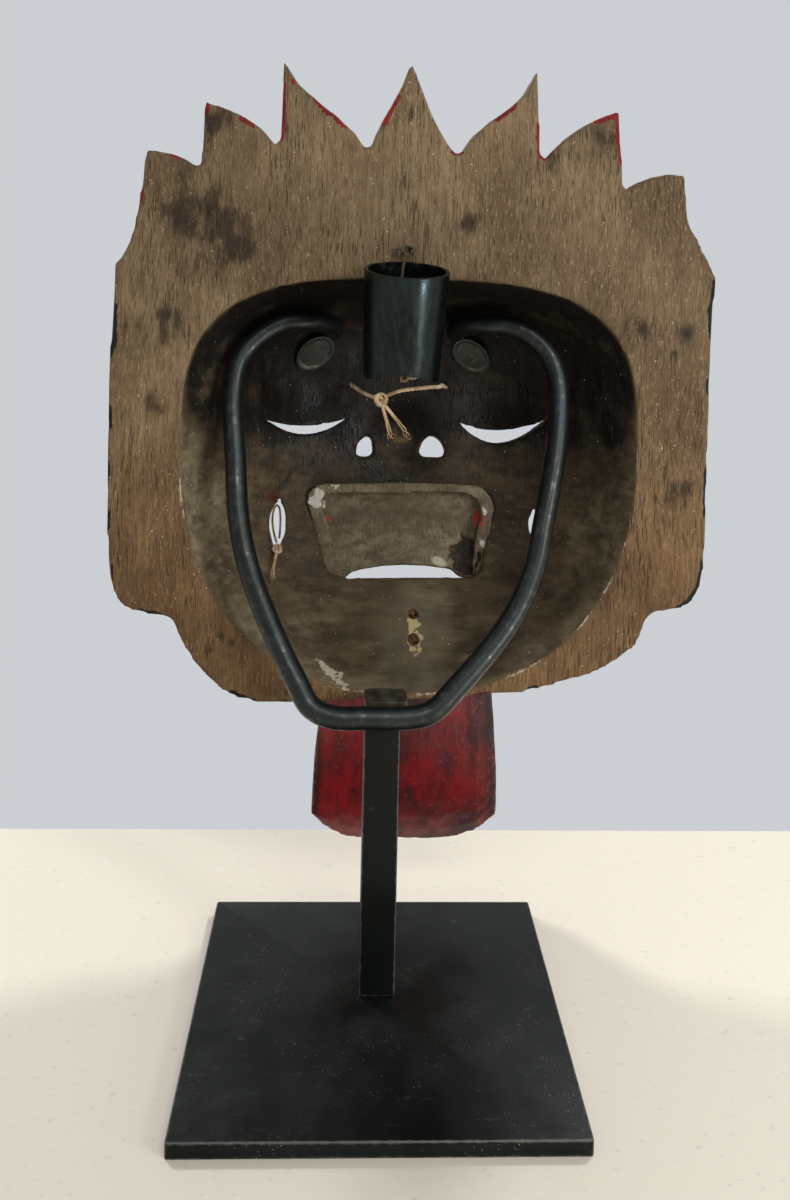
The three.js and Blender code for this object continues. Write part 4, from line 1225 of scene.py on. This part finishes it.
# ---- Floor and light ------------------------------------------------------------------------
# Plain pale floor with a plain backdrop beyond it, which shows from the hollow side only and
# casts nothing. Two high soft lights stand beyond the mask, and a wide one, a window and a low
# reflector light its hollow.
BACKDROP_Y = -157 * MM
WALL = (0.60, 0.625, 0.655)

shaped = bmesh.new()
bmesh.ops.create_grid(shaped, x_segments=4, y_segments=4, size=8.0)
floor_mesh = bpy.data.meshes.new("floor")
shaped.to_mesh(floor_mesh)
shaped.free()
floor_paint, tree, shader, place = new_finish("pale floor")
pits = between(tree, speckle(tree, place, 330, 5, (1.6, 1, 1)), 0.62, 0.7)
cream = blend(tree, times(tree, pits, 0.3), (0.66, 0.61, 0.51), (0.40, 0.36, 0.28))
feed(shader["Base Color"], cream)
feed(shader["Roughness"], 0.6)
floor = set_out("floor", floor_mesh, floor_paint)

shaped = bmesh.new()
bmesh.ops.create_grid(shaped, x_segments=1, y_segments=1, size=4.0)
bmesh.ops.rotate(shaped, verts=shaped.verts, matrix=Matrix.Rotation(-math.pi / 2, 3, "X"))
bmesh.ops.translate(shaped, verts=shaped.verts, vec=(0, BACKDROP_Y, 4.0))
backdrop_mesh = bpy.data.meshes.new("backdrop")
shaped.to_mesh(backdrop_mesh)
shaped.free()
backdrop_grey, tree, shader, place = new_finish("backdrop grey")
glow = tree.nodes.new("ShaderNodeEmission")
feed(glow.inputs["Color"], WALL)
clear = tree.nodes.new("ShaderNodeBsdfTransparent")
facing_side = reckon(
    tree, "SUBTRACT", 1.0, tree.nodes.new("ShaderNodeNewGeometry").outputs["Backfacing"]
)
shown = times(tree, facing_side, tree.nodes.new("ShaderNodeLightPath").outputs["Is Camera Ray"])
either = tree.nodes.new("ShaderNodeMixShader")
feed(either.inputs[0], shown)
feed(either.inputs[1], clear.outputs[0])
feed(either.inputs[2], glow.outputs[0])
feed(tree.nodes["Material Output"].inputs["Surface"], either.outputs[0])
backdrop = set_out("backdrop", backdrop_mesh, backdrop_grey)

world = bpy.data.worlds.new("room")
bpy.context.scene.world = world
world.use_nodes = True
feed(world.node_tree.nodes["Background"].inputs["Color"], WALL)
feed(world.node_tree.nodes["Background"].inputs["Strength"], 0.72)


def soft_light(name, at, towards, size, watts, colour=(1, 1, 1)):
    data = bpy.data.lights.new(name, "AREA")
    data.shape = "DISK"
    data.size = size
    data.energy = watts
    data.color = colour
    lamp = bpy.data.objects.new(name, data)
    lamp.location = at
    lamp.rotation_euler = (Vector(towards) - Vector(at)).to_track_quat("-Z", "Y").to_euler()
    lamp.visible_camera = False
    bpy.context.scene.collection.objects.link(lamp)


soft_light("left behind", (1.0, -1.0, 1.5), (0, 0, 0.1), 0.3, 18)
soft_light("right behind", (-1.0, -0.9, 1.6), (0, 0, 0.1), 0.3, 18)
soft_light("room", (-0.5, 1.5, 1.7), (0, 0, 0.25), 1.0, 15, (1, 0.97, 0.93))
soft_light("window", (-1.0, 0.95, 0.65), (0, 0, 0.25), 0.3, 6)
soft_light("low reflector", (-0.35, 0.31, 0.10), (0, 0, 0.28), 0.07, 0.45)

bpy.context.scene.view_settings.view_transform = "Standard"
